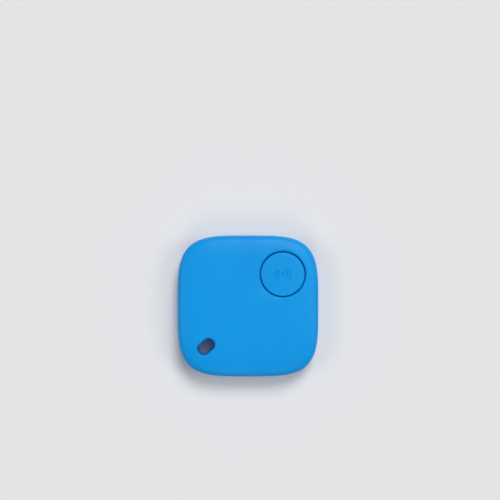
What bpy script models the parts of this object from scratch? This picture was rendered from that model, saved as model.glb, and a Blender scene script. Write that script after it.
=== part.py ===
"""A square wireless tracker tag, lying on its back.

The rear cover carries the board, the coin cell and the sounder. The front cover lifts
off along +Z for a change of cell, and carries the button cap, whose nub rests on the
board's tactile switch. +Z points out of the front face and +Y to the tag's top edge.
The origin is the centre of the flat rear face. Everything is in metres.
"""

import math

import bmesh
import bpy
from mathutils import Matrix, Vector

MM = 0.001
OVERCUT = 1.0 * MM  # how far a cutter runs past what it cuts
SHARP_ANGLE = math.radians(30)

# Clearances
SEAM_GAP = 0.3 * MM  # the open line between the two covers
SEAT_GAP = 0.05 * MM  # a glue or solder film under a flat face
FREE_GAP = 0.3 * MM  # round anything that is fitted by hand

# Housing
BODY_WIDTH = 38.0 * MM
BODY_LENGTH = 38.0 * MM
BODY_DEPTH = 8.0 * MM
SEAM_HEIGHT = 3.3 * MM
WALL = 1.1 * MM
CORNER_POWER = 4.0  # the squircle that the tag is from the front
FACE_POWER = 6.0  # how late the front face rolls over into the side
REAR_EDGE_RUN = 3.4 * MM
LIP_CLEARANCE = 0.15 * MM
LIP_THICKNESS = 0.6 * MM
LIP_HEIGHT = 1.2 * MM
FLOOR_THICKNESS = 1.0 * MM
INNER_CHAMFER = 0.35 * MM
INSIDE_SHARE = 0.8  # how deep in the front wall the guide and the sleeve are rooted
HOUSING_POINTS = 80
FRONT_STEPS_DEG = (4, 14, 28, 42, 56, 68, 77, 84)
REAR_STEPS_DEG = (22.5, 45, 67.5, 90)

# Lanyard slot, which runs through both covers
SLOT_X = -11.25 * MM
SLOT_Y = -10.85 * MM
SLOT_TILT = math.radians(40)
SLOT_LENGTH = 5.1 * MM  # at its narrowest
SLOT_WIDTH = 3.3 * MM
SLOT_FRONT_FLARE = 0.5 * MM  # all round, at the mouth
SLOT_REAR_FLARE = 0.25 * MM
SLEEVE_WALL = 0.7 * MM
SLOT_ARC_POINTS = 9

# Notch for a fingernail or a coin, in the rear cover's edge
NOTCH_WIDTH = 7.0 * MM
NOTCH_HEIGHT = 0.8 * MM
NOTCH_DEPTH = 0.7 * MM

# Button
BUTTON_X = 9.3 * MM
BUTTON_Y = 8.6 * MM
BUTTON_RADIUS = 5.85 * MM
BUTTON_GAP = 0.25 * MM
FLANGE_REACH = 0.65 * MM
FLANGE_THICKNESS = 0.5 * MM
GUIDE_WALL = 1.2 * MM
GUIDE_DROP = 0.9 * MM  # from the front cover's inner face to the guide's foot
CAP_THICKNESS = 1.5 * MM
CAP_SKIRT = 0.9 * MM
NUB_RADIUS = 1.1 * MM
BUTTON_POINTS = 64

# Circuit board
BOARD_THICKNESS = 0.8 * MM
BOARD_STANDOFF = 0.35 * MM
BOARD_CLEARANCE = 0.3 * MM
STANDOFF_RADIUS = 1.6 * MM
STAKE_RADIUS = 0.6 * MM
STAKE_HEAD_RADIUS = 1.0 * MM
STAKE_HEAD_HEIGHT = 0.35 * MM
STAKE_HEAD_TAPER = 0.7  # the head's top as a share of its foot
STAKE_HOLE_GAP = 0.1 * MM
STAKES = ((15.0 * MM, -0.8 * MM), (-14.4 * MM, 1.6 * MM), (7.6 * MM, 15.0 * MM))

# Coin cell, 20 mm by 3.2 mm
CELL_X = 2.5 * MM
CELL_Y = -6.75 * MM
CELL_RADIUS = 10.0 * MM
CELL_HEIGHT = 3.2 * MM
CELL_SHEET = 0.3 * MM
CELL_CAP_INSET = 1.1 * MM
CELL_CAP_PROUD = 0.15 * MM
CELL_BEVEL = 0.35 * MM
GASKET_WIDTH = 0.5 * MM
CELL_POINTS = 48

# Battery clip and the contact under the cell
CLIP_SHEET = 0.25 * MM
CLIP_WIDTH = 6.0 * MM
CLIP_FOOT = 1.5 * MM
CLIP_TURN = math.radians(165)
CLIP_WINDOW_LENGTH = 6.5 * MM
CLIP_WINDOW_WIDTH = 0.5 * MM
CLIP_TONGUE_WIDTH = 2.4 * MM
CONTACT_RADIUS = 3.6 * MM
CONTACT_SHEET = 0.12 * MM
CONTACT_RISE = 0.25 * MM  # the space that the contact spring takes up under the cell
CONTACT_TOP_SHARE = 0.25  # the raised middle and the flat rim, as shares of its radius
CONTACT_RIM_SHARE = 0.6

# Piezo sounder
PIEZO_X = -9.0 * MM
PIEZO_Y = 9.0 * MM
PIEZO_RADIUS = 6.0 * MM
PIEZO_SHEET = 0.2 * MM
CERAMIC_RADIUS = 4.2 * MM
CERAMIC_THICKNESS = 0.15 * MM
PIEZO_SEAT_WIDTH = 0.8 * MM
PIEZO_SEAT_HEIGHT = 0.45 * MM
ADHESIVE_THICKNESS = 0.1 * MM
WIRE_RADIUS = 0.28 * MM
WIRE_ARCH = 0.8 * MM
WIRE_STEPS = 16
WIRE_LIFT = 0.1 * MM  # the solder between a wire's end and the sounder
# Name, material, start X and Y from the sounder's middle, end X and Y on the board and sideways bow in mm
WIRES = (
    ("piezo_wire_black", "wire_black", 3.6, -3.6, -1.9, 2.9, 0.7),
    ("piezo_wire_red", "wire_red", 0.6, -2.4, -8.4, 0.9, 0.6),
)
PIEZO_POINTS = 40

# Tactile switch
SWITCH_SIDE = 4.5 * MM
SWITCH_BASE_HEIGHT = 1.1 * MM
SWITCH_WELL_RADIUS = 1.75 * MM
SWITCH_FRAME_SHEET = 0.2 * MM
PLUNGER_RADIUS = 0.95 * MM
PLUNGER_FLANGE_RADIUS = 1.5 * MM
PLUNGER_FLANGE_HEIGHT = 0.3 * MM
PLUNGER_HEIGHT = 0.8 * MM  # above the frame
PLUNGER_CLEARANCE = 0.1 * MM
PLUNGER_CHAMFER = 0.1 * MM
DOME_RADIUS = 1.5 * MM
DOME_HEIGHT = 0.4 * MM
DOME_SHEET = 0.08 * MM
DOME_STEPS = (0, 0.4, 0.7, 1)  # shares of its radius
TERMINAL_WIDTH = 0.6 * MM
TERMINAL_SHEET = 0.15 * MM
TERMINAL_REACH = 0.9 * MM
TERMINAL_HEIGHT = 0.6 * MM
TERMINAL_SPREAD = 1.5 * MM
SMALL_POINTS = 24

# Antenna printed on the board, as a run of square turns
ANTENNA_X = -15.6 * MM
ANTENNA_Y = -7.4 * MM
ANTENNA_TURNS = 4
ANTENNA_PITCH = 1.0 * MM
ANTENNA_REACH = 3.6 * MM
ANTENNA_TRACE = 0.4 * MM
ANTENNA_THICKNESS = 0.1 * MM

# Parts on the board
BLOCK_CHAMFER = 0.08 * MM
LENS_LENGTH_SHARE = 0.8  # of the light's base
LENS_WIDTH_SHARE = 0.6
LENS_HEIGHT = 0.35 * MM
BLOCKS = (  # name, material, centre X and Y, then length, width and height in mm
    ("radio_chip", "chip_black", 0.9, 11.6, 5.0, 5.0, 0.85),
    ("crystal_fast", "nickel", 1.0, 6.9, 3.2, 2.5, 0.7),
    ("crystal_slow", "nickel", 14.4, 10.6, 1.6, 3.2, 0.8),
    ("inductor", "ferrite", 4.2, 6.1, 2.5, 2.0, 1.2),
    ("driver_transistor", "chip_black", -3.6, 15.3, 2.9, 1.3, 1.0),
    ("led_base", "led_white", 14.3, 3.2, 1.3, 2.0, 0.4),
    ("capacitor_1", "ceramic_tan", 4.7, 13.4, 0.8, 1.6, 0.8),
    ("capacitor_2", "ceramic_tan", 4.7, 11.2, 0.8, 1.6, 0.8),
    ("capacitor_3", "ceramic_tan", -0.2, 15.2, 1.6, 0.8, 0.8),
    ("capacitor_4", "ceramic_tan", 2.2, 15.2, 1.6, 0.8, 0.8),
    ("capacitor_5", "ceramic_tan", -1.8, 5.3, 0.8, 1.6, 0.8),
    ("capacitor_6", "ceramic_tan", -5.7, -15.0, 1.2, 2.0, 1.2),
    ("resistor_1", "chip_black", 14.9, 6.4, 0.8, 1.6, 0.45),
    ("resistor_2", "chip_black", 12.6, 4.4, 1.6, 0.8, 0.45),
    ("resistor_3", "chip_black", -12.4, 1.0, 0.8, 1.6, 0.45),
)

COLOURS = {  # base colour, roughness, metallic
    "shell_blue": ((0.005, 0.30, 0.76, 1), 0.42, 0.0),
    "board_green": ((0.02, 0.16, 0.06, 1), 0.35, 0.0),
    "chip_black": ((0.015, 0.015, 0.017, 1), 0.5, 0.0),
    "ferrite": ((0.06, 0.06, 0.065, 1), 0.6, 0.0),
    "ceramic_tan": ((0.42, 0.30, 0.19, 1), 0.5, 0.0),
    "ceramic_grey": ((0.62, 0.62, 0.58, 1), 0.45, 0.0),
    "led_white": ((0.85, 0.85, 0.82, 1), 0.5, 0.0),
    "led_clear": ((0.80, 0.86, 0.55, 1), 0.15, 0.0),
    "nickel": ((0.62, 0.61, 0.58, 1), 0.25, 1.0),
    "steel": ((0.66, 0.66, 0.67, 1), 0.28, 1.0),
    "brass": ((0.78, 0.57, 0.25, 1), 0.3, 1.0),
    "gold": ((0.90, 0.68, 0.30, 1), 0.25, 1.0),
    "switch_black": ((0.02, 0.02, 0.02, 1), 0.45, 0.0),
    "gasket_grey": ((0.16, 0.16, 0.17, 1), 0.6, 0.0),
    "pellet_dark": ((0.05, 0.05, 0.05, 1), 0.8, 0.0),
    "adhesive": ((0.75, 0.73, 0.68, 1), 0.7, 0.0),
    "wire_red": ((0.60, 0.02, 0.02, 1), 0.4, 0.0),
    "wire_black": ((0.02, 0.02, 0.02, 1), 0.4, 0.0),
}

# Heights that follow from the values above
REAR_SEAM = SEAM_HEIGHT - SEAM_GAP / 2
FRONT_SEAM = SEAM_HEIGHT + SEAM_GAP / 2
CEILING = BODY_DEPTH - WALL
LIP_OUTSET = WALL + LIP_CLEARANCE
LIP_INSET = LIP_OUTSET + LIP_THICKNESS
BOARD_INSET = LIP_INSET + BOARD_CLEARANCE
BOARD_BOTTOM = FLOOR_THICKNESS + BOARD_STANDOFF + SEAT_GAP
BOARD_TOP = BOARD_BOTTOM + BOARD_THICKNESS
PART_SEAT = BOARD_TOP + SEAT_GAP
CELL_BOTTOM = PART_SEAT + CONTACT_RISE
CELL_TOP = CELL_BOTTOM + CELL_HEIGHT
CELL_RIM = CELL_BOTTOM + CELL_CAP_PROUD
CELL_CAP_RADIUS = CELL_RADIUS - CELL_CAP_INSET
GUIDE_FOOT = CEILING - GUIDE_DROP
FLANGE_TOP = GUIDE_FOOT - SEAT_GAP
FLANGE_BOTTOM = FLANGE_TOP - FLANGE_THICKNESS
BUTTON_HOLE_RADIUS = BUTTON_RADIUS + BUTTON_GAP
FLANGE_RADIUS = BUTTON_RADIUS + FLANGE_REACH
SWITCH_TOP = PART_SEAT + SWITCH_BASE_HEIGHT
FRAME_BOTTOM = SWITCH_TOP + SEAT_GAP
FRAME_TOP = FRAME_BOTTOM + SWITCH_FRAME_SHEET
PLUNGER_TOP = FRAME_TOP + PLUNGER_HEIGHT
DOME_BOTTOM = SWITCH_TOP - PLUNGER_FLANGE_HEIGHT - SEAT_GAP - DOME_HEIGHT
WELL_FLOOR = DOME_BOTTOM - SEAT_GAP
PIEZO_SEAT = FLOOR_THICKNESS + PIEZO_SEAT_HEIGHT
PIEZO_BOTTOM = PIEZO_SEAT + ADHESIVE_THICKNESS + 2 * SEAT_GAP
PIEZO_TOP = PIEZO_BOTTOM + PIEZO_SHEET
CERAMIC_BOTTOM = PIEZO_TOP + SEAT_GAP
CERAMIC_TOP = CERAMIC_BOTTOM + CERAMIC_THICKNESS
WALL_MIDDLE = BODY_DEPTH - INSIDE_SHARE * WALL


def clear_scene():
    for old in list(bpy.data.objects):
        bpy.data.objects.remove(old, do_unlink=True)


def make_materials():
    for name, (colour, roughness, metallic) in COLOURS.items():
        material = bpy.data.materials.new(name)
        material.use_nodes = True
        surface = material.node_tree.nodes["Principled BSDF"]
        surface.inputs["Base Color"].default_value = colour
        surface.inputs["Roughness"].default_value = roughness
        surface.inputs["Metallic"].default_value = metallic


# Rings of points, each at one height


def housing_ring(inset, z, share=1.0):
    """The housing's squircle, inset from the outermost line and then scaled to a share of its size."""
    half_width = (BODY_WIDTH / 2 - inset) * share
    half_length = (BODY_LENGTH / 2 - inset) * share
    ring = []
    for step in range(HOUSING_POINTS):
        angle = 2 * math.pi * step / HOUSING_POINTS
        along, across = math.cos(angle), math.sin(angle)
        reach = abs(along / half_width) ** CORNER_POWER + abs(across / half_length) ** CORNER_POWER
        radius = reach ** (-1 / CORNER_POWER)
        ring.append((radius * along, radius * across, z))
    return ring


def round_ring(radius, z, points, x=0.0, y=0.0):
    turns = [2 * math.pi * step / points for step in range(points)]
    return [(x + radius * math.cos(turn), y + radius * math.sin(turn), z) for turn in turns]


def slot_ring(grow, z, outward=0.0):
    """The lanyard slot's outline, grown all round, with its corner end moved outward."""
    radius = SLOT_WIDTH / 2 + grow
    end = (SLOT_LENGTH - SLOT_WIDTH) / 2
    turn = Matrix.Rotation(SLOT_TILT, 3, "Z")
    centre = Vector((SLOT_X, SLOT_Y, z))
    ring = []
    for start, middle in ((-math.pi / 2, end), (math.pi / 2, -end - outward)):
        for step in range(SLOT_ARC_POINTS):
            angle = start + math.pi * step / (SLOT_ARC_POINTS - 1)
            local = Vector((middle + radius * math.cos(angle), radius * math.sin(angle), 0))
            ring.append(centre + turn @ local)
    return ring


def raised(ring, *heights):
    """The same outline at each of the heights."""
    return [[(x, y, height) for x, y, _ in ring] for height in heights]


# Solids


def skin(rings, joined=False):
    """A closed mesh through the rings. A ring of one point is a pole, and joined closes it as a tube."""
    mesh = bmesh.new()
    loops = [[mesh.verts.new(point) for point in ring] for ring in rings]
    pairs = list(zip(loops, loops[1:]))
    if joined:
        pairs.append((loops[-1], loops[0]))
    for low, high in pairs:
        count = max(len(low), len(high))
        for step in range(count):
            after = (step + 1) % count
            if len(low) == 1:
                corners = (low[0], high[after], high[step])
            elif len(high) == 1:
                corners = (low[step], low[after], high[0])
            else:
                corners = (low[step], low[after], high[after], high[step])
            mesh.faces.new(corners)
    if not joined:
        for loop in (loops[0], loops[-1]):
            if len(loop) > 2:
                mesh.faces.new(loop)
    bmesh.ops.recalc_face_normals(mesh, faces=mesh.faces)
    return mesh


def place(name, mesh, material, location=(0, 0, 0), turn=0.0):
    """A named object from a bmesh, turned about Z and put at its location."""
    data = bpy.data.meshes.new(name)
    mesh.to_mesh(data)
    mesh.free()
    data.shade_smooth()
    data.set_sharp_from_angle(angle=SHARP_ANGLE)
    data.materials.append(bpy.data.materials[material])
    made = bpy.data.objects.new(name, data)
    made.location = location
    made.rotation_euler = (0, 0, turn)
    bpy.context.scene.collection.objects.link(made)
    return made


def shape(made, operation, other):
    """Cuts, joins or trims an object by another one, which isn't a part itself."""
    other.hide_render = True
    other.display_type = "WIRE"
    modifier = made.modifiers.new(other.name, "BOOLEAN")
    modifier.operation = operation
    modifier.object = other
    modifier.solver = "EXACT"


def helper(name, rings, joined=False):
    return place(name, skin(rings, joined), "shell_blue")


def turned(profile, points, x=0.0, y=0.0, joined=False):
    """A solid of revolution from (radius, height) pairs. A radius of zero is a pole."""
    rings = [round_ring(radius, z, points, x, y) if radius else [(x, y, z)] for radius, z in profile]
    return skin(rings, joined)


def band(inner, outer, bottom, top):
    """The profile of a flat ring, or of a disc where inner is zero."""
    return [(inner, bottom), (outer, bottom), (outer, top), (inner, top)]


def block(length, width, bottom, top):
    mesh = bmesh.new()
    bmesh.ops.create_cube(mesh, size=1)
    size = Matrix.Diagonal((length, width, top - bottom, 1))
    lift = Matrix.Translation((0, 0, (bottom + top) / 2))
    bmesh.ops.transform(mesh, matrix=lift @ size, verts=mesh.verts)
    return mesh


def extruded(outline, depth, facing):
    """A flat outline pushed out by depth, where facing takes (u, v, w) to a point."""
    near = [facing(u, v, -depth / 2) for u, v in outline]
    far = [facing(u, v, depth / 2) for u, v in outline]
    return skin([near, far])


# Housing


def front_rings(inset, rise):
    """From the seam to the pole of a front surface that ends rise above the seam."""
    rings = [housing_ring(inset, FRONT_SEAM)]
    for degrees in FRONT_STEPS_DEG:
        angle = math.radians(degrees)
        share = math.cos(angle) ** (2 / FACE_POWER)
        height = SEAM_HEIGHT + rise * math.sin(angle) ** (2 / FACE_POWER)
        rings.append(housing_ring(inset, height, share))
    rings.append([(0, 0, SEAM_HEIGHT + rise)])
    return rings


def slot_cutter():
    rings = [
        slot_ring(SLOT_REAR_FLARE, -OVERCUT),
        slot_ring(SLOT_REAR_FLARE, 0),
        slot_ring(0, SLOT_REAR_FLARE),
        slot_ring(0, BODY_DEPTH - SLOT_FRONT_FLARE),
        slot_ring(SLOT_FRONT_FLARE, BODY_DEPTH),
        slot_ring(SLOT_FRONT_FLARE, BODY_DEPTH + OVERCUT),
    ]
    return helper("slot_cutter", rings)


def front_cover(slot):
    outer = front_rings(0, BODY_DEPTH - SEAM_HEIGHT)
    inner = front_rings(WALL, CEILING - SEAM_HEIGHT)
    cover = place("front_cover", skin(inner[::-1] + outer), "shell_blue")
    guide = round_ring(BUTTON_HOLE_RADIUS + GUIDE_WALL, 0, BUTTON_POINTS, BUTTON_X, BUTTON_Y)
    hole = round_ring(BUTTON_HOLE_RADIUS, 0, BUTTON_POINTS, BUTTON_X, BUTTON_Y)
    shape(cover, "UNION", helper("guide", raised(guide, GUIDE_FOOT, WALL_MIDDLE)))
    sleeve = slot_ring(SLEEVE_WALL, 0)
    shape(cover, "UNION", helper("front_sleeve", raised(sleeve, FRONT_SEAM, WALL_MIDDLE)))
    shape(cover, "DIFFERENCE", helper("button_hole", raised(hole, SEAM_HEIGHT, BODY_DEPTH + OVERCUT)))
    shape(cover, "DIFFERENCE", slot)


def rear_cover(slot):
    floor_corner = LIP_INSET + INNER_CHAMFER
    rings = [
        housing_ring(floor_corner, FLOOR_THICKNESS),
        housing_ring(LIP_INSET, FLOOR_THICKNESS + INNER_CHAMFER),
        housing_ring(LIP_INSET, REAR_SEAM + LIP_HEIGHT),
        housing_ring(LIP_OUTSET, REAR_SEAM + LIP_HEIGHT),
        housing_ring(LIP_OUTSET, REAR_SEAM),
        housing_ring(0, REAR_SEAM),
    ]
    for degrees in REAR_STEPS_DEG:
        angle = math.radians(degrees)
        inset = REAR_EDGE_RUN * (1 - math.cos(angle))
        rings.append(housing_ring(inset, SEAM_HEIGHT * (1 - math.sin(angle))))
    cover = place("rear_cover", skin(rings), "shell_blue")
    root = FLOOR_THICKNESS / 2
    seat = round_ring(PIEZO_RADIUS, 0, PIEZO_POINTS, PIEZO_X, PIEZO_Y)
    inside = round_ring(PIEZO_RADIUS - PIEZO_SEAT_WIDTH, 0, PIEZO_POINTS, PIEZO_X, PIEZO_Y)
    tube = raised(seat, root, PIEZO_SEAT) + raised(inside, PIEZO_SEAT, root)
    shape(cover, "UNION", helper("piezo_seat", tube, joined=True))
    for number, (x, y) in enumerate(STAKES):
        stake = turned(stake_profile(root), SMALL_POINTS, x, y)
        shape(cover, "UNION", place(f"stake_{number}", stake, "shell_blue"))
    sleeve = slot_ring(SLEEVE_WALL, 0)
    shape(cover, "UNION", helper("rear_sleeve", raised(sleeve, root, REAR_SEAM)))
    shape(cover, "DIFFERENCE", slot)
    shape(cover, "DIFFERENCE", pry_notch())


def stake_profile(root):
    """A standoff under the board, a pin through it and the head that the hot iron leaves on top."""
    shoulder = BOARD_BOTTOM - SEAT_GAP
    return [
        (0, root),
        (STANDOFF_RADIUS, root),
        (STANDOFF_RADIUS, shoulder),
        (STAKE_RADIUS, shoulder),
        (STAKE_RADIUS, PART_SEAT),
        (STAKE_HEAD_RADIUS, PART_SEAT),
        (STAKE_HEAD_RADIUS * STAKE_HEAD_TAPER, PART_SEAT + STAKE_HEAD_HEIGHT),
        (0, PART_SEAT + STAKE_HEAD_HEIGHT),
    ]


def pry_notch():
    """A wedge that opens the seam a little at the middle of the +X side."""
    length = NOTCH_DEPTH + OVERCUT
    mesh = block(length, NOTCH_WIDTH, REAR_SEAM - NOTCH_HEIGHT, REAR_SEAM + OVERCUT)
    middle = BODY_WIDTH / 2 - NOTCH_DEPTH + length / 2
    return place("pry_notch", mesh, "shell_blue", (middle, 0, 0))


def find_button():
    """The cap, its skirt and flange, and the nub that rests on the switch, trimmed flush with the face."""
    profile = [
        (0, PLUNGER_TOP + SEAT_GAP),
        (NUB_RADIUS, PLUNGER_TOP + SEAT_GAP),
        (NUB_RADIUS, BODY_DEPTH - CAP_THICKNESS),
        (BUTTON_RADIUS - CAP_SKIRT, BODY_DEPTH - CAP_THICKNESS),
        (BUTTON_RADIUS - CAP_SKIRT, FLANGE_BOTTOM),
        (FLANGE_RADIUS, FLANGE_BOTTOM),
        (FLANGE_RADIUS, FLANGE_TOP),
        (BUTTON_RADIUS, FLANGE_TOP),
        (BUTTON_RADIUS, BODY_DEPTH + OVERCUT),
        (0, BODY_DEPTH + OVERCUT),
    ]
    button = place("find_button", turned(profile, BUTTON_POINTS), "shell_blue", (BUTTON_X, BUTTON_Y, 0))
    shape(button, "INTERSECT", helper("face", front_rings(0, BODY_DEPTH - SEAM_HEIGHT)))


# Board and what is on it


def circuit_board():
    plate = housing_ring(BOARD_INSET, 0)
    board = place("circuit_board", skin(raised(plate, BOARD_BOTTOM, BOARD_TOP)), "board_green")
    low, high = BOARD_BOTTOM - OVERCUT, BOARD_TOP + OVERCUT
    opening = round_ring(PIEZO_RADIUS + FREE_GAP, 0, PIEZO_POINTS, PIEZO_X, PIEZO_Y)
    shape(board, "DIFFERENCE", helper("piezo_opening", raised(opening, low, high)))
    corner = slot_ring(SLEEVE_WALL + FREE_GAP, 0, outward=BODY_WIDTH / 4)
    shape(board, "DIFFERENCE", helper("corner_opening", raised(corner, low, high)))
    for number, (x, y) in enumerate(STAKES):
        hole = round_ring(STAKE_RADIUS + STAKE_HOLE_GAP, 0, SMALL_POINTS, x, y)
        shape(board, "DIFFERENCE", helper(f"stake_hole_{number}", raised(hole, low, high)))


def board_blocks():
    for name, material, x, y, length, width, height in BLOCKS:
        mesh = block(length * MM, width * MM, PART_SEAT, PART_SEAT + height * MM)
        upright = [edge for edge in mesh.edges if edge.verts[0].co.xy == edge.verts[1].co.xy]
        bmesh.ops.bevel(
            mesh, geom=upright, offset=BLOCK_CHAMFER, segments=1, affect="EDGES", profile=0.5, material=-1
        )
        place(name, mesh, material, (x * MM, y * MM, 0))


def led_lens():
    """The clear lens on the light's base."""
    _, _, x, y, length, width, height = next(row for row in BLOCKS if row[0] == "led_base")
    bottom = PART_SEAT + height * MM + SEAT_GAP
    length, width = length * LENS_LENGTH_SHARE * MM, width * LENS_WIDTH_SHARE * MM
    mesh = block(length, width, bottom, bottom + LENS_HEIGHT)
    place("led_lens", mesh, "led_clear", (x * MM, y * MM, 0))


def antenna():
    """A trace that runs back and forth up the board's left edge."""
    half = ANTENNA_TRACE / 2
    left_side = []
    right_side = []
    for turn in range(ANTENNA_TURNS):
        low = 2 * turn * ANTENNA_PITCH
        high = low + ANTENNA_PITCH
        left_side += [(ANTENNA_REACH - half, low + half), (ANTENNA_REACH - half, high - half)]
        left_side += [(-half, high - half), (-half, high + ANTENNA_PITCH + half)]
        right_side += [(ANTENNA_REACH + half, low - half), (ANTENNA_REACH + half, high + half)]
        right_side += [(half, high + half), (half, high + ANTENNA_PITCH - half)]
    foot = half - ANTENNA_PITCH / 2
    tip = (2 * ANTENNA_TURNS - 0.5) * ANTENNA_PITCH
    left_side = [(-half, foot), (-half, half), *left_side[:-1], (-half, tip)]
    right_side = [(half, foot), (half, -half), *right_side[:-1], (half, tip)]
    outline = right_side + left_side[::-1]
    middle = PART_SEAT + ANTENNA_THICKNESS / 2

    def facing(u, v, w):
        return (ANTENNA_X + u, ANTENNA_Y + v, middle + w)

    place("antenna_trace", extruded(outline, ANTENNA_THICKNESS, facing), "gold")


# Coin cell


def coin_cell():
    where = (CELL_X, CELL_Y, 0)
    inner = CELL_RADIUS - CELL_SHEET
    crimp = CELL_CAP_RADIUS + GASKET_WIDTH
    shelf = CELL_RIM + CELL_SHEET
    can = [
        (0, CELL_TOP - CELL_SHEET),
        (inner, CELL_TOP - CELL_SHEET),
        (inner, shelf),
        (crimp, shelf),
        (crimp, CELL_RIM),
        (CELL_RADIUS - CELL_BEVEL, CELL_RIM),
        (CELL_RADIUS, CELL_RIM + CELL_BEVEL),
        (CELL_RADIUS, CELL_TOP - CELL_BEVEL),
        (CELL_RADIUS - CELL_BEVEL, CELL_TOP),
        (0, CELL_TOP),
    ]
    place("cell_can", turned(can, CELL_POINTS), "steel", where)
    gasket = [
        (CELL_CAP_RADIUS + SEAT_GAP, CELL_RIM),
        (crimp - SEAT_GAP, CELL_RIM),
        (crimp - SEAT_GAP, shelf + SEAT_GAP),
        (inner - SEAT_GAP, shelf + SEAT_GAP),
        (inner - SEAT_GAP, shelf + GASKET_WIDTH),
        (CELL_CAP_RADIUS + SEAT_GAP, shelf + GASKET_WIDTH),
    ]
    place("cell_gasket", turned(gasket, CELL_POINTS, joined=True), "gasket_grey", where)
    cap = [
        (0, CELL_BOTTOM),
        (CELL_CAP_RADIUS - 2 * CELL_BEVEL, CELL_BOTTOM),
        (CELL_CAP_RADIUS - CELL_BEVEL, CELL_RIM + CELL_SHEET / 2),
        (CELL_CAP_RADIUS, CELL_RIM + CELL_SHEET / 2),
        (CELL_CAP_RADIUS, shelf + GASKET_WIDTH),
        (CELL_CAP_RADIUS - CELL_SHEET, shelf + GASKET_WIDTH),
        (CELL_CAP_RADIUS - CELL_SHEET, shelf),
        (0, CELL_BOTTOM + CELL_SHEET),
    ]
    place("cell_cap", turned(cap, CELL_POINTS), "nickel", where)
    pellet_bottom = shelf + GASKET_WIDTH + SEAT_GAP
    pellet_top = CELL_TOP - CELL_SHEET - SEAT_GAP
    pellet = band(0, inner - FREE_GAP, pellet_bottom, pellet_top)
    place("cell_pellet", turned(pellet, CELL_POINTS), "pellet_dark", where)


def battery_clip():
    """A bent strap over the cell: two feet on the board, two legs, and a top that holds the cell down."""
    inner = CELL_RADIUS + FREE_GAP
    outer = inner + CLIP_SHEET
    foot = outer + CLIP_FOOT
    low = PART_SEAT
    under = CELL_TOP + SEAT_GAP
    top = under + CLIP_SHEET
    half = [(foot, low), (foot, low + CLIP_SHEET), (outer, low + CLIP_SHEET), (outer, top)]
    inside = [(inner, under), (inner, low)]
    outline = half + [(-u, z) for u, z in reversed(half)] + [(-u, z) for u, z in reversed(inside)] + inside
    mesh = extruded(outline, CLIP_WIDTH, lambda u, z, v: (u, v, z))
    clip = place("battery_clip", mesh, "steel", (CELL_X, CELL_Y, 0), CLIP_TURN)
    for side in (-1, 1):
        offset = side * (CLIP_TONGUE_WIDTH + CLIP_WINDOW_WIDTH) / 2
        mesh = block(CLIP_WINDOW_LENGTH, CLIP_WINDOW_WIDTH, under - OVERCUT, top + OVERCUT)
        bmesh.ops.translate(mesh, vec=(0, offset, 0), verts=mesh.verts)
        window = place(f"clip_window_{side}", mesh, "steel", (CELL_X, CELL_Y, 0), CLIP_TURN)
        shape(clip, "DIFFERENCE", window)


def negative_contact():
    """A sprung disc under the cell, pressed up at its middle."""
    rise = CONTACT_RISE - SEAT_GAP - CONTACT_SHEET
    under = [
        (0, PART_SEAT + rise),
        (CONTACT_RADIUS * CONTACT_TOP_SHARE, PART_SEAT + rise),
        (CONTACT_RADIUS * CONTACT_RIM_SHARE, PART_SEAT),
        (CONTACT_RADIUS, PART_SEAT),
    ]
    profile = under + [(radius, z + CONTACT_SHEET) for radius, z in reversed(under)]
    place("negative_contact", turned(profile, SMALL_POINTS), "gold", (CELL_X, CELL_Y, 0))


# Sounder


def piezo_sounder():
    where = (PIEZO_X, PIEZO_Y, 0)
    ring_inner = PIEZO_RADIUS - PIEZO_SEAT_WIDTH
    film_low = PIEZO_SEAT + SEAT_GAP
    film_high = film_low + ADHESIVE_THICKNESS
    film = band(ring_inner, PIEZO_RADIUS, film_low, film_high)
    place("piezo_adhesive", turned(film, PIEZO_POINTS, joined=True), "adhesive", where)
    plate = band(0, PIEZO_RADIUS, PIEZO_BOTTOM, PIEZO_TOP)
    place("piezo_plate", turned(plate, PIEZO_POINTS), "brass", where)
    disc = band(0, CERAMIC_RADIUS, CERAMIC_BOTTOM, CERAMIC_TOP)
    place("piezo_ceramic", turned(disc, PIEZO_POINTS), "ceramic_grey", where)


def wire(name, material, start, end, bow):
    """A thin wire that arches from one solder joint to the other and bows sideways."""
    start, end = Vector(start), Vector(end)
    aside = (end - start).cross(Vector((0, 0, 1))).normalized()
    curve = bpy.data.curves.new(name, "CURVE")
    curve.dimensions = "3D"
    curve.bevel_depth = WIRE_RADIUS
    curve.bevel_resolution = 2
    curve.use_fill_caps = True
    spline = curve.splines.new("POLY")
    spline.points.add(WIRE_STEPS)
    for step in range(WIRE_STEPS + 1):
        share = step / WIRE_STEPS
        arch = math.sin(math.pi * share)
        point = start.lerp(end, share) + Vector((0, 0, WIRE_ARCH * arch))
        point += aside * bow * math.sin(2 * math.pi * share)
        spline.points[step].co = (*point, 1)
    curve.materials.append(bpy.data.materials[material])
    bpy.context.scene.collection.objects.link(bpy.data.objects.new(name, curve))


def sounder_wires():
    """The black wire starts on the brass plate and the red wire on the ceramic disc."""
    clear = WIRE_RADIUS + SEAT_GAP
    for (name, material, x, y, end_x, end_y, bow), seat in zip(WIRES, (PIEZO_TOP, CERAMIC_TOP)):
        start = (PIEZO_X + x * MM, PIEZO_Y + y * MM, seat + clear + WIRE_LIFT)
        end = (end_x * MM, end_y * MM, BOARD_TOP + clear)
        wire(name, material, start, end, bow * MM)


# Switch


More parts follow.
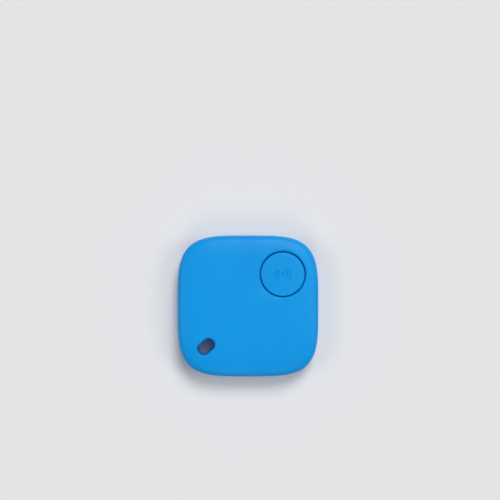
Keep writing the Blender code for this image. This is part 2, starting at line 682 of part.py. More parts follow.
def tact_switch():
    where = (BUTTON_X, BUTTON_Y, 0)
    body = block(SWITCH_SIDE, SWITCH_SIDE, PART_SEAT, SWITCH_TOP)
    base = place("switch_base", body, "switch_black", where)
    well = round_ring(SWITCH_WELL_RADIUS, 0, SMALL_POINTS, BUTTON_X, BUTTON_Y)
    shape(base, "DIFFERENCE", helper("switch_well", raised(well, WELL_FLOOR, SWITCH_TOP + OVERCUT)))
    plate = block(SWITCH_SIDE, SWITCH_SIDE, FRAME_BOTTOM, FRAME_TOP)
    frame = place("switch_frame", plate, "nickel", where)
    hole = round_ring(PLUNGER_RADIUS + PLUNGER_CLEARANCE, 0, SMALL_POINTS, BUTTON_X, BUTTON_Y)
    low, high = SWITCH_TOP - OVERCUT, FRAME_TOP + OVERCUT
    shape(frame, "DIFFERENCE", helper("frame_hole", raised(hole, low, high)))
    foot = DOME_BOTTOM + DOME_HEIGHT + SEAT_GAP
    plunger = [
        (0, foot),
        (PLUNGER_FLANGE_RADIUS, foot),
        (PLUNGER_FLANGE_RADIUS, foot + PLUNGER_FLANGE_HEIGHT),
        (PLUNGER_RADIUS, foot + PLUNGER_FLANGE_HEIGHT),
        (PLUNGER_RADIUS, PLUNGER_TOP - PLUNGER_CHAMFER),
        (PLUNGER_RADIUS - PLUNGER_CHAMFER, PLUNGER_TOP),
        (0, PLUNGER_TOP),
    ]
    place("switch_plunger", turned(plunger, SMALL_POINTS), "switch_black", where)
    rise = DOME_HEIGHT - DOME_SHEET
    arc = [(share * DOME_RADIUS, DOME_BOTTOM + rise * (1 - share**2)) for share in DOME_STEPS]
    dome = arc + [(radius, z + DOME_SHEET) for radius, z in reversed(arc)]
    place("switch_dome", turned(dome, SMALL_POINTS), "steel", where)


def switch_terminals():
    """Four bent legs, two on each side of the switch."""
    start = SWITCH_SIDE / 2 + SEAT_GAP
    bend = start + TERMINAL_SHEET
    reach = start + TERMINAL_REACH
    low, step, top = PART_SEAT, PART_SEAT + TERMINAL_SHEET, PART_SEAT + TERMINAL_HEIGHT
    outline = [(start, low), (reach, low), (reach, step), (bend, step), (bend, top), (start, top)]
    number = 0
    for side in (0, math.pi):
        for spread in (-TERMINAL_SPREAD, TERMINAL_SPREAD):
            number += 1
            mesh = extruded(outline, TERMINAL_WIDTH, lambda u, z, v, spread=spread: (u, v + spread, z))
            place(f"switch_terminal_{number}", mesh, "nickel", (BUTTON_X, BUTTON_Y, 0), side)


def main():
    clear_scene()
    make_materials()
    slot = slot_cutter()
    front_cover(slot)
    rear_cover(slot)
    find_button()
    circuit_board()
    board_blocks()
    led_lens()
    antenna()
    coin_cell()
    battery_clip()
    negative_contact()
    piezo_sounder()
    sounder_wires()
    tact_switch()
    switch_terminals()


main()
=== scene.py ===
"""The looks of a square wireless tracker tag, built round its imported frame.

The tag lies on its back with its face up. The housing, its button and everything on the
board are made again here at full finish, each in the place that its frame node holds.
Everything is in metres.
"""

import math

import bmesh
import bpy
from mathutils import Matrix, Vector


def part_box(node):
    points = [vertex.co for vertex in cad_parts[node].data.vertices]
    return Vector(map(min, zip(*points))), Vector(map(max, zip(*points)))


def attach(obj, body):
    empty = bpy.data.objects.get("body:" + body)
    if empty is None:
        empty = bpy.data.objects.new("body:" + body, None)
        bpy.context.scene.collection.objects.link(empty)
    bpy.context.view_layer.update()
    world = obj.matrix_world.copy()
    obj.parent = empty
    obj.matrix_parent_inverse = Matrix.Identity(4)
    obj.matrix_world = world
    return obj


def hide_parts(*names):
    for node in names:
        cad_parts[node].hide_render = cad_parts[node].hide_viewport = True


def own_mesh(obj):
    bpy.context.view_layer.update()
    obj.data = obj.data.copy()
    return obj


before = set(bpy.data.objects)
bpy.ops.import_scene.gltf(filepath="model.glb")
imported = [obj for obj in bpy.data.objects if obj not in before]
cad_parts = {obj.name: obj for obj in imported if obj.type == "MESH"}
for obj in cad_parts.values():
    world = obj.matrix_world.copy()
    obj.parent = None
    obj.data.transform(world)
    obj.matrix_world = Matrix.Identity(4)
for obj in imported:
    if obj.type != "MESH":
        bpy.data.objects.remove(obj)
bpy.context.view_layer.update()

MM = 0.001
UP = Vector((0, 0, 1))
QUARTER = math.radians(90)
SAME_PLACE = 1e-7
SHARP_ANGLE = math.radians(35)
STAMPED_ANGLE = math.radians(50)  # edges that are rounded in stamped metal
EVEN_WEIGHT = 80

# The housing's shape, which its frame nodes' boxes don't tell
CORNER_POWER = 4.0
FACE_POWER = 6.0
SEAM_GAP = 0.3 * MM
WALL = 1.1 * MM
REAR_EDGE_RUN = 3.4 * MM
LIP_OUTSET = 1.25 * MM
LIP_INSET = 1.85 * MM
LIP_EDGE_RADIUS = 0.12 * MM
FLOOR_THICKNESS = 1.0 * MM
FLOOR_EDGE_RADIUS = 0.35 * MM
SEAM_EDGE_RADIUS = 0.18 * MM
SLOT_CENTRE = Vector((-11.25 * MM, -10.85 * MM, 0))
SLOT_TILT = math.radians(40)
SLOT_LENGTH = 5.1 * MM
SLOT_WIDTH = 3.3 * MM
SLOT_EDGE_RADIUS = 0.5 * MM
SLEEVE_WALL = 0.7 * MM
SOUNDER_SEAT_WIDTH = 0.8 * MM
STANDOFF_RADIUS = 1.6 * MM
STAKE_RADIUS = 0.6 * MM
STAKE_HEAD_RADIUS = 1.0 * MM
STAKE_HEAD_HEIGHT = 0.35 * MM
STAKE_HEAD_TURNS = (0, 20, 40, 60, 78)  # degrees up the head's dome
STAKES = ((15.0 * MM, -0.8 * MM), (-14.4 * MM, 1.6 * MM), (7.6 * MM, 15.0 * MM))
NOTCH_WIDTH = 7.0 * MM
NOTCH_HEIGHT = 0.8 * MM
NOTCH_DEPTH = 0.7 * MM
NOTCH_EDGE_RADIUS = 0.2 * MM
SEAT_GAP = 0.05 * MM
BUTTON_GAP = 0.25 * MM
FLANGE_REACH = 0.65 * MM
FLANGE_THICKNESS = 0.5 * MM
GUIDE_WALL = 1.2 * MM
GUIDE_DROP = 0.9 * MM
GUIDE_ROOT = 0.8  # how deep in the front wall the guide and the sleeve end, as a share of it
CAP_SKIRT = 0.9 * MM
CAP_UNDERCUT = 0.4 * MM
CAP_EASE = 0.08 * MM  # off the edges that are out of sight
NUB_RADIUS = 1.1 * MM
HOLE_EDGE_RADIUS = 0.6 * MM
BUTTON_EDGE_RADIUS = 0.25 * MM
MOUTH_ANGLE = 72  # how far round a mouth's edge is rounded, in degrees
HOLE_MOUTH_PAST = 0.25 * MM  # how far a mouth's cutter runs on past its edge
SLOT_MOUTH_PAST = 0.3 * MM

# The mark on the button: a dot and two waves on each side
MARK_DOT_RADIUS = 0.42 * MM
MARK_WAVES = (1.2 * MM, 2.05 * MM)
MARK_WAVE_HALF_ANGLE = math.radians(38)
MARK_LINE = 0.32 * MM
MARK_SLOPE = 0.1 * MM
MARK_DEPTH = 0.2 * MM
MARK_REACH = 2.4 * MM

# The board
BOARD_INSET = 2.15 * MM
BOARD_EDGE = 0.06 * MM
STAKE_CLEARANCE = 0.1 * MM
FREE_GAP = 0.3 * MM
COPPER = 0.02 * MM
PLATED_COPPER = 0.03 * MM
TRACE_WIDTH = 0.16 * MM
# Copper runs, each from one place to another in mm, straight first and then at 45 degrees
TRACES = (
    (3.4, 12.35, 4.7, 12.8), (3.4, 11.35, 4.35, 10.75), (3.4, 9.85, 6.1, 10.1), (2.65, 9.1, 6.1, 7.1),
    (-0.35, 9.1, -0.3, 7.9), (0.65, 9.1, 1.9, 7.9), (2.15, 9.1, 4.4, 6.85), (-2.6, 3.4, -1.6, 10.35),
    (-2.3, 6.0, -1.6, 10.85), (-2.4, 14.2, -1.6, 12.85), (-3.0, 14.5, -1.6, 11.85), (0.15, 14.1, 0.4, 14.9),
    (0.65, 14.1, 1.5, 15.0), (2.15, 14.1, 2.8, 14.8), (2.65, 14.1, 4.5, 14.1), (12.4, 10.1, 13.7, 11.9),
    (12.4, 7.1, 11.9, 4.4), (13.2, 4.4, 14.3, 3.9), (14.9, 5.7, 14.9, 4.85), (14.4, 9.2, 14.9, 7.2),
    (13.4, -4.6, 14.3, 2.3), (-12.4, 0.3, -12.0, -0.3), (-12.4, 1.7, -8.4, 1.1), (-1.8, 4.6, -7.6, -0.9),
    (-5.7, -14.2, -6.6, -11.4), (12.2, -12.4, 11.4, -12.9), (9.6, -14.6, 8.2, -15.1),
)
# Places in mm where a run goes through to the other side
VIAS = (
    (-2.4, 14.2), (13.4, -4.6), (-6.6, -11.4), (11.4, -12.9), (8.2, -15.1), (12.2, -12.4),
    (14.9, 4.85), (6.3, 12.9), (-2.6, 3.4), (5.9, 4.6),
)
VIA_RADIUS = 0.3 * MM
# Bare round pads in mm for the maker's test pins
TEST_PADS = ((14.9, -5.4), (15.2, -3.5), (-9.4, -14.6), (-7.8, -15.2))
TEST_PAD_RADIUS = 0.55 * MM
PRINTED = (
    "radio_chip", "crystal_fast", "crystal_slow", "inductor", "capacitor_5", "capacitor_6", "resistor_1",
)
PRINT_HEIGHT = 0.015 * MM
PRINT_LINE = 0.1 * MM
PRINT_ARC_LINE = 0.12 * MM
PRINT_GROW = 0.3 * MM  # round a part
CELL_RING_GROW = 0.5 * MM
CELL_RING_TURNS = range(-150, -20, 5)
PIEZO_RING_GROW = 0.6 * MM
PIEZO_RING_TURNS = range(-85, 85, 5)
PRINT_PLUS = (11.954, -11.18)  # in mm
PRINT_PLUS_ARM = 1.1 * MM
PRINT_PLUS_WIDTH = 0.25 * MM

# Small parts
CHIP_EDGE = 0.05 * MM
THIN_CHIP_EDGE = 0.03 * MM
PAD_REACH = 0.24 * MM
END_SHARE = 0.24  # of a part's length under each end cap
END_PROUD = 0.03 * MM
SOLDER_RISE_SHARE = 0.6
SOLDER_WIDTH_SHARE = 0.96
SOLDER_CURVE = ((0, 0), (1, 0), (0.45, 0.22), (0.14, 0.55), (0, 1))  # shares of its reach and rise
CHIP_PADS = 8  # on each side of the radio chip
CHIP_PAD_PITCH = 0.5 * MM
CHIP_PAD_UNDER = 0.3 * MM
CHIP_PAD_OUT = 0.22 * MM
CHIP_PAD_HALF_WIDTH = 0.13 * MM
CHIP_PAD_EDGE = 0.02 * MM
RADIO_EDGE = 0.07 * MM
PIN_ONE_RADIUS = 0.32 * MM
PIN_ONE_DEPTH = 0.08 * MM
PIN_ONE_INSET = 0.8 * MM
LID_INSET = Vector((0.12, 0.12, 0)) * MM
LID_EDGE = 0.11 * MM
TRAY_SHARE = 0.38
TRAY_EDGE = 0.04 * MM
CRYSTAL_PAD = 0.6 * MM
CRYSTAL_PAD_EDGE = 0.01 * MM
CHOKE_EDGE = 0.16 * MM
CHOKE_RING = 0.62 * MM
CHOKE_GROOVE = 0.2 * MM
CHOKE_WIRE = 0.15 * MM
CHOKE_WIRE_GAP = 0.02 * MM
CHOKE_WIRE_SEAT = 0.03 * MM
CHOKE_WIRE_EDGE = 0.07 * MM
CHOKE_SOLDER_RISE = 0.35 * MM
CHOKE_SOLDER_WIDTH = 1.4 * MM
DRIVER_DRAFT = 0.9
DRIVER_LIFT = 0.08 * MM
LEG_PLACES = ((1, 0.0), (-1, -0.95 * MM), (-1, 0.95 * MM))  # side, and place along it
LEG_SHEET = 0.12 * MM
LEG_WIDTH = 0.4 * MM
LEG_RISE = 0.5 * MM
LEG_KNEE = 0.24 * MM
LEG_TOE = 0.56 * MM
LEG_BEND = 0.1 * MM
LEG_ROOT = 0.08 * MM
LEG_FOOT = 0.08 * MM
LENS_EDGE = 0.12 * MM
LAMP_FILL_INSET = Vector((0.18, 0.18, 0)) * MM
LAMP_FILL_EDGE = 0.01 * MM

# Coin cell and its clip
CELL_SHEET = 0.3 * MM
CELL_BEVEL = 0.35 * MM
CELL_EASE = 0.1 * MM
CRIMP_EASE = 0.08 * MM
GASKET_WIDTH = 0.5 * MM
# Radius, and height above its top, of the line pressed round the can, in mm
CELL_LINE = ((8.75, 0), (8.65, -0.03), (8.55, -0.03), (8.45, 0))
CAP_CURL_SHARE = 0.3
CAP_LEDGE_EASE = 0.05 * MM
SIGN_ARM = 2.2 * MM
SIGN_WIDTH = 0.5 * MM
SIGN_DEPTH = 0.06 * MM
SIGN_OUT_SHARE = 0.62
CLIP_SHEET = 0.25 * MM
CLIP_WIDTH = 6.0 * MM
CLIP_FOOT = 1.5 * MM
CLIP_TURN = math.radians(165)
CLIP_BEND = 0.35 * MM
CLIP_EDGE = 0.04 * MM
CLIP_WINDOW_LENGTH = 6.5 * MM
CLIP_WINDOW_WIDTH = 0.5 * MM
CLIP_TONGUE_WIDTH = 2.4 * MM
WINDOW_ROUND_SHARE = 0.49
CONTACT_SHEET = 0.12 * MM
CONTACT_STEPS = 13
CONTACT_SLOPE = 1.6  # how early the contact's slope reaches its rim
BEND_STEPS = 6

# Sounder
CERAMIC_RADIUS = 4.2 * MM
ELECTRODE_RADIUS = 3.9 * MM
ELECTRODE = 0.02 * MM
TAPE_EDGE = 0.03 * MM
PLATE_EDGE = 0.05 * MM
WIRE_RADIUS = 0.28 * MM
WIRE_CORE = 0.14 * MM
WIRE_ARCH = 0.8 * MM
WIRE_LIFT = 0.1 * MM
WIRE_STEPS = 32
STRIPPED_SHARE = 0.1  # of a lead's length, bare at each end
PLATE_JOINT = (3.6, -3.6)  # in mm from the sounder's middle
DISC_JOINT = (0.6, -2.4)
BLACK_BOARD_JOINT = (-1.9, 2.9)  # in mm on the board
RED_BOARD_JOINT = (-8.4, 0.9)
BLACK_BOW = 0.7 * MM
RED_BOW = 0.6 * MM
SOUNDER_BLOB = (0.5 * MM, 0.6 * MM)  # radius and height
BOARD_BLOB = (0.55 * MM, 0.55 * MM)
BLOB_CURVE = ((1, 0), (0.98, 0.1), (0.86, 0.34), (0.66, 0.66), (0.42, 0.9), (0.2, 1))  # shares of both

# Switch
SWITCH_EDGE = 0.12 * MM
SWITCH_WELL_RADIUS = 1.75 * MM
SWITCH_POST_RADIUS = 0.35 * MM
POST_ROOT = 0.3 * MM
# The post's melted head: its radius as a share of the post's, and its height in mm above the cover
POST_HEAD = ((1, 0.01), (1.3, 0.01), (1.2, 0.07), (0.7, 0.11))
POST_CLEARANCE = 0.02 * MM
COVER_CORNER = 0.35 * MM
COVER_EDGE = 0.03 * MM
PLUNGER_RADIUS = 0.95 * MM
PLUNGER_EDGE = 0.15 * MM
PLUNGER_DIMPLE = ((0.5, 0), (0.44, -0.03))  # share of its radius, and height in mm
PLUNGER_FLANGE_RADIUS = 1.5 * MM
PLUNGER_FLANGE_HEIGHT = 0.3 * MM
FLANGE_EASE = 0.05 * MM
DOME_SHEET = 0.08 * MM
DOME_STEPS = 12
DOME_SEGMENTS = 48
TERMINAL_SHEET = 0.15 * MM
TERMINAL_BEND = 0.12 * MM
TERMINAL_EDGE = 0.02 * MM

# How the grain and the drawn lines show in a surface
FUZZ_FINENESS = 2.3
FUZZ_SHARE = 0.6
SCRATCH_RANGE = (0.73, 0.78)
PATCH_RANGE = (0.35, 0.65)
STAIN_RANGE = (0.4, 0.75)
SHEEN_RANGE = (0.3, 0.7)
GRAIN_HEIGHT_SHARE = 0.25
LINE_STRENGTH = 0.5
LINE_HEIGHT = 0.002 * MM
LINE_SHEEN = 0.05
STAIN_DULLING = 0.06
WEAVE_STRENGTH = 0.12
WEAVE_HEIGHT = 0.01 * MM
MASK_COAT = 0.4
GRAIN_SHEEN = (-0.03, 0.04)
BLUE_SPECULAR = 0.17
LENS_CLEARNESS = 0.7

# Fineness of the surfaces
HOUSING_SEGMENTS = 240
HOLE_SEGMENTS = 160
SLOT_SEGMENTS = 112
CELL_SEGMENTS = 160
FINE_SEGMENTS = 120
SOUNDER_SEGMENTS = 96
TURNED_SEGMENTS = 72
BORE_SEGMENTS = 64
SMALL_SEGMENTS = 40
POST_SEGMENTS = 32
VIA_SEGMENTS = 20
ROLL_STEPS = 30
INNER_ROLL_STEPS = 14
ROLL_EASE = 1.6  # how closely the front surface's rings lie near the seam
REAR_ROLL_STEPS = 16
POLE_SHARES = (0.03, 0.5)  # rings near the middle of a flat face
EDGE_STEPS = 4
ROUND_STEPS = 6
HOLE_EDGE_STEPS = 5
PLUNGER_EDGE_STEPS = 5
SLOT_EDGE_STEPS = 7
CAN_EDGE_STEPS = 8
LIP_EDGE_STEPS = 3
CAP_RING_STEP = 0.4 * MM
MARK_RING_STEP = 0.04 * MM


def placed(node_name):
    """The lowest and highest corners that a frame node holds, and its middle."""
    low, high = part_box(node_name)
    return low, high, (low + high) / 2


# Places read from the frame
front_low, front_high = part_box("front_cover")
button_low, button_high, BUTTON_CENTRE = placed("find_button")
HALF_WIDTH = front_high.x
HALF_LENGTH = front_high.y
DEPTH = front_high.z
FRONT_SEAM = front_low.z
REAR_SEAM = FRONT_SEAM - SEAM_GAP
SEAM_HEIGHT = FRONT_SEAM - SEAM_GAP / 2
LIP_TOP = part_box("rear_cover")[1].z
CEILING = DEPTH - WALL
FLANGE_RADIUS = (button_high.x - button_low.x) / 2
BUTTON_RADIUS = FLANGE_RADIUS - FLANGE_REACH
HOLE_RADIUS = BUTTON_RADIUS + BUTTON_GAP
BOARD_BOTTOM, BOARD_TOP = (corner.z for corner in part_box("circuit_board"))
CELL_LOW, CELL_HIGH, CELL_CENTRE = placed("cell_can")
CELL_RADIUS = (CELL_HIGH.x - CELL_LOW.x) / 2
CELL_RIM = CELL_LOW.z
PIEZO_LOW, PIEZO_HIGH, PIEZO_CENTRE = placed("piezo_plate")
PIEZO_RADIUS = (PIEZO_HIGH.x - PIEZO_LOW.x) / 2


# Outlines, as the reach from a centre at each angle


def squircle_reach(turn, inset=0.0):
    along = abs(math.cos(turn)) / (HALF_WIDTH - inset)
    across = abs(math.sin(turn)) / (HALF_LENGTH - inset)
    return (along**CORNER_POWER + across**CORNER_POWER) ** (-1 / CORNER_POWER)


def slot_reach(turn, grow=0.0):
    """A round-ended slot along its own X axis."""
    radius = SLOT_WIDTH / 2 + grow
    end = (SLOT_LENGTH - SLOT_WIDTH) / 2
    along, across = abs(math.cos(turn)), abs(math.sin(turn))
    if across * end > radius * along:
        return radius / across
    return end * along + math.sqrt(radius**2 - (end * across) ** 2)


def face_height(x, y, inset=0.0):
    """The height of the front surface, or of the surface that lies inset under it."""
    share_x = abs(x) / (HALF_WIDTH - inset)
    share_y = abs(y) / (HALF_LENGTH - inset)
    share = (share_x**CORNER_POWER + share_y**CORNER_POWER) ** (1 / CORNER_POWER)
    rise = DEPTH - inset - SEAM_HEIGHT
    return SEAM_HEIGHT + rise * max(0.0, 1 - share**FACE_POWER) ** (1 / FACE_POWER)


# Rings, each a function from an angle to a point


def housing_ring(inset, z, share=1.0):
    def point(turn):
        reach = squircle_reach(turn, inset) * share
        return Vector((reach * math.cos(turn), reach * math.sin(turn), z))

    return point


def round_ring(radius, z, centre=(0, 0)):
    def point(turn):
        return Vector((centre[0] + radius * math.cos(turn), centre[1] + radius * math.sin(turn), z))

    return point


def face_ring(radius, drop, centre):
    """A circle that lies drop under the front surface all the way round."""

    def point(turn):
        x = centre[0] + radius * math.cos(turn)
        y = centre[1] + radius * math.sin(turn)
        return Vector((x, y, face_height(x, y) - drop))

    return point


def slot_ring(grow, z=None, drop=0.0):
    """The slot's outline at a height, or drop under the front surface where no height is given."""

    def point(turn):
        reach = slot_reach(turn, grow)
        x = SLOT_CENTRE.x + reach * math.cos(turn + SLOT_TILT)
        y = SLOT_CENTRE.y + reach * math.sin(turn + SLOT_TILT)
        return Vector((x, y, face_height(x, y) - drop if z is None else z))

    return point


def fillet(radius, steps, end=90):
    """(in, up) pairs round a quarter circle, from its foot to its top or to an angle on the way."""
    turns = [math.radians(end * step / steps) for step in range(steps + 1)]
    return [(radius * (1 - math.cos(turn)), radius * math.sin(turn)) for turn in turns]


# Meshes


def verts_in(geometry):
    return [part for part in geometry if isinstance(part, bmesh.types.BMVert)]


def loft(rings, segments, end="pole"):
    """A skin pulled up through the rings. Its ends are poles, flat caps, or joined to make a tube."""
    if end == "joined":
        rings = rings + rings[:1]
    mesh = bmesh.new()
    turn_of = mesh.verts.layers.float.new("turn")
    first = verts = bmesh.ops.create_circle(mesh, segments=segments, radius=1)["verts"]
    for vert in verts:
        vert[turn_of] = math.atan2(vert.co.y, vert.co.x)
        vert.co = rings[0](vert[turn_of])
    edges = list(mesh.edges)
    for ring in rings[1:]:
        grown = bmesh.ops.extrude_edge_only(mesh, edges=edges)["geom"]
        verts = verts_in(grown)
        edges = [part for part in grown if isinstance(part, bmesh.types.BMEdge)]
        for vert in verts:
            vert.co = ring(vert[turn_of])
    if end == "joined":
        bmesh.ops.remove_doubles(mesh, verts=first + verts, dist=SAME_PLACE)
    for rim in (first, verts):
        if end == "pole":
            middle = sum((vert.co for vert in rim), Vector()) / len(rim)
            bmesh.ops.pointmerge(mesh, verts=rim, merge_co=middle)
        elif end == "cap":
            bmesh.ops.contextual_create(mesh, geom=rim)
    mesh.verts.layers.float.remove(mesh.verts.layers.float["turn"])
    bmesh.ops.recalc_face_normals(mesh, faces=mesh.faces)
    return mesh


def turned(profile, centre, segments=TURNED_SEGMENTS, end="pole"):
    """A turned shape from (radius, height) pairs, from its foot, up its outside and in over its top."""
    return loft([round_ring(radius, z, centre) for radius, z in profile], segments, end)


def drill(radius, low, high, centre, segments=SMALL_SEGMENTS):
    """A round bar, to cut a hole or to stand up."""
    return turned([(radius, low), (radius, high)], centre, segments, "cap")


def piece(name, mesh, *materials):
    """A named object from a bmesh, with its place in its mesh."""
    data = bpy.data.meshes.new(name)
    mesh.to_mesh(data)
    mesh.free()
    data.shade_smooth()
    data.set_sharp_from_angle(angle=SHARP_ANGLE)
    for material in materials:
        data.materials.append(material)
    made = bpy.data.objects.new(name, data)
    bpy.context.scene.collection.objects.link(made)
    return made


def stands_for(made, node_name=None, body="base"):
    """The piece takes the place of a frame node, if one is given, and moves with its body."""
    if node_name:
        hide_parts(node_name)
    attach(made, body)


def carve(made, steps, edge=0.0):
    """Joins or cuts helper meshes, in turn, keeps the result as the piece's own mesh, and shades it."""
    helpers = []
    for operation, mesh in steps:
        helper = piece("helper", mesh)
        helpers.append(helper)
        modifier = made.modifiers.new("carve", "BOOLEAN")
        modifier.operation = operation
        modifier.object = helper
        modifier.solver = "EXACT"
    bpy.context.view_layer.update()
    carved = bpy.data.meshes.new_from_object(made.evaluated_get(bpy.context.evaluated_depsgraph_get()))
    made.modifiers.clear()
    made.data = carved
    for helper in helpers:
        bpy.data.objects.remove(helper)
    carved.shade_smooth()
    carved.set_sharp_from_angle(angle=SHARP_ANGLE)
    if edge:
        soften(made, edge)
    else:
        even_shading(made)


def even_shading(made):
    """Shading that follows the large faces, so that slivers beside a cut don't show."""
    modifier = made.modifiers.new("even_shading", "WEIGHTED_NORMAL")
    modifier.weight = EVEN_WEIGHT
    modifier.keep_sharp = True


def soften(made, width):
    """Rounds the sharp edges of a stamped piece."""
    modifier = made.modifiers.new("soften", "BEVEL")
    modifier.width = width
    modifier.segments = 2
    modifier.limit_method = "ANGLE"
    modifier.angle_limit = STAMPED_ANGLE
    even_shading(made)


def block(low, high):
    mesh = bmesh.new()
    bmesh.ops.create_cube(mesh, size=1)
    size = Matrix.Diagonal((*(high - low), 1))
    bmesh.ops.transform(mesh, matrix=Matrix.Translation((low + high) / 2) @ size, verts=mesh.verts)
    return mesh


def round_edges(mesh, edges, radius, steps):
    bmesh.ops.bevel(
        mesh, geom=edges, offset=radius, segments=steps, affect="EDGES", profile=0.5, material=-1
    )
    return mesh


def rounded_block(low, high, radius, steps=2):
    mesh = block(low, high)
    return round_edges(mesh, list(mesh.edges), radius, steps)


def rounded_plate(low, high, radius, steps):
    """A block with its upright edges rounded."""
    mesh = block(low, high)
    upright = [edge for edge in mesh.edges if edge.verts[0].co.xy == edge.verts[1].co.xy]
    return round_edges(mesh, upright, radius, steps)


def washer(inner, outer, low, high, centre, edge, segments=TURNED_SEGMENTS):
    """A flat ring with its four edges rounded."""
    profile = []
    for corner, level, start in ((outer, low, -90), (outer, high, 0), (inner, high, 90), (inner, low, 180)):
        into = Vector((-edge if corner == outer else edge, edge if level == low else -edge))
        for step in range(4):
            angle = math.radians(start + 30 * step)
            profile.append(Vector((corner + edge * math.cos(angle), level + edge * math.sin(angle))) + into)
    return turned(profile, centre, segments, "joined")


def disc(radius, low, high, centre, edge, segments=TURNED_SEGMENTS):
    """A flat disc with rounded rims."""
    rim = fillet(edge, EDGE_STEPS)
    profile = [(radius - out, low + edge - up) for out, up in reversed(rim)]
    return turned(profile + [(radius - out, high - edge + up) for out, up in rim], centre, segments)


def prism(outline, depth, to_point):
    """A flat outline pushed out by depth, where to_point takes (across, up, along) to a place."""
    mesh = bmesh.new()
    face = mesh.faces.new([mesh.verts.new(to_point(across, up, -depth / 2)) for across, up in outline])
    grown = bmesh.ops.extrude_face_region(mesh, geom=[face])["geom"]
    bmesh.ops.translate(mesh, verts=verts_in(grown), vec=to_point(0, 0, depth) - to_point(0, 0, 0))
    bmesh.ops.recalc_face_normals(mesh, faces=mesh.faces)
    return mesh


def mitre(points, stop, closed=False):
    """Which way is across a run of flat points at one of them, and how much longer it is at a corner."""
    runs = []
    if stop or closed:
        runs.append((points[stop] - points[stop - 1]).normalized())
    if stop < len(points) - 1 or closed:
        runs.append((points[(stop + 1) % len(points)] - points[stop]).normalized())
    across = sum((Vector((-run.y, run.x)) for run in runs), Vector((0, 0)))
    return across / (1 + runs[0].dot(runs[-1])) if len(runs) == 2 else across


def ribbon(points, width, low, thickness, closed=False):
    """A flat strip along a run of points, mitred at its corners."""
    points = [Vector(point) for point in points]
    mesh = bmesh.new()
    hand = mesh.verts.layers.float.new("hand")
    verts = [mesh.verts.new() for _ in range(2)]
    for vert, side in zip(verts, (-1, 1)):
        vert[hand] = side
    edge = mesh.edges.new(verts)
    for number, stop in enumerate([*range(len(points)), 0] if closed else range(len(points))):
        if number:
            grown = bmesh.ops.extrude_edge_only(mesh, edges=[edge])["geom"]
            verts = verts_in(grown)
            edge = next(part for part in grown if isinstance(part, bmesh.types.BMEdge))
        across = mitre(points, stop, closed) * width / 2
        for vert in verts:
            vert.co = (*(points[stop] + across * vert[hand]), low)
    if closed:
        bmesh.ops.remove_doubles(mesh, verts=mesh.verts, dist=SAME_PLACE)
    grown = bmesh.ops.extrude_face_region(mesh, geom=list(mesh.faces))["geom"]
    bmesh.ops.translate(mesh, verts=verts_in(grown), vec=UP * thickness)
    bmesh.ops.recalc_face_normals(mesh, faces=mesh.faces)
    return mesh


def bent_sheet(corners, sheet, radius, depth, to_point):
    """A strip of sheet metal bent at its corners, which lie on the sheet's middle line."""
    corners = [Vector(corner) for corner in corners]
    path = [corners[0]]
    for before, corner, after in zip(corners, corners[1:], corners[2:]):
        into = (before - corner).normalized()
        out = (after - corner).normalized()
        centre = corner + (into + out) * radius
        for step in range(BEND_STEPS + 1):
            turn = math.radians(90) * step / BEND_STEPS
            path.append(centre - out * radius * math.cos(turn) - into * radius * math.sin(turn))
    path.append(corners[-1])
    left = [point + mitre(path, stop) * sheet / 2 for stop, point in enumerate(path)]
    right = [point - mitre(path, stop) * sheet / 2 for stop, point in enumerate(path)]
    return prism(left + right[::-1], depth, to_point)


def plus_sign(centre, arm, width, low, high):
    """Two crossed bars."""
    middle = Vector((*centre, 0))
    bars = []
    for along, across in ((arm, width), (width, arm)):
        corner = Vector((along / 2, across / 2, 0))
        bars.append(block(middle - corner + UP * low, middle + corner + UP * high))
    return bars


def joined(*groups):
    """One mesh from lists of meshes, with a list for each of the piece's materials."""
    whole = bmesh.new()
    for number, meshes in enumerate(groups):
        for mesh in meshes:
            for face in mesh.faces:
                face.material_index = number
            data = bpy.data.meshes.new("part")
            mesh.to_mesh(data)
            mesh.free()
            whole.from_mesh(data)
            bpy.data.meshes.remove(data)
    return whole


def spun(mesh, turn, centre):
    """The mesh turned about a vertical line through the centre."""
    about = Matrix.Translation((centre[0], centre[1], 0))
    turning = about @ Matrix.Rotation(turn, 4, "Z") @ about.inverted()
    bmesh.ops.transform(mesh, matrix=turning, verts=mesh.verts)
    return mesh


# Materials


def new_material(name, colour, roughness, metallic=0.0):
    material = bpy.data.materials.new(name)
    material.use_nodes = True
    surface = material.node_tree.nodes["Principled BSDF"]
    surface.inputs["Base Color"].default_value = (*colour, 1)
    surface.inputs["Roughness"].default_value = roughness
    surface.inputs["Metallic"].default_value = metallic
    return material


def node(tree, kind, settings=None, **inputs):
    """A node with its settings, and with its inputs given by name: a value, or a socket to link from."""
    made = tree.nodes.new(kind)
    for name, value in (settings or {}).items():
        setattr(made, name, value)
    for name, value in inputs.items():
        socket = made.inputs[int(name[1:])] if name[0] == "_" else made.inputs[name.replace("_", " ")]
        if isinstance(value, bpy.types.NodeSocket):
            tree.links.new(value, socket)
        else:
            socket.default_value = value
    return made


def maths(tree, operation, first, second=0.0):
    return node(tree, "ShaderNodeMath", {"operation": operation}, _0=first, _1=second).outputs[0]


def blend_colour(tree, share, first, second):
    """A colour between two, each a socket or (red, green, blue)."""
    made = node(tree, "ShaderNodeMix", {"data_type": "RGBA"}, _0=share)
    for index, colour in ((6, first), (7, second)):
        if isinstance(colour, bpy.types.NodeSocket):
            tree.links.new(colour, made.inputs[index])
        else:
            made.inputs[index].default_value = (*colour, 1)
    return made.outputs[2]


def between(tree, value, low, high, low_out=0.0, high_out=1.0):
    """A value spread from one range to another, and held at its ends."""
    made = node(tree, "ShaderNodeMapRange", None, Value=value, From_Min=low, From_Max=high)
    made.inputs["To Min"].default_value = low_out
    made.inputs["To Max"].default_value = high_out
    return made.outputs[0]


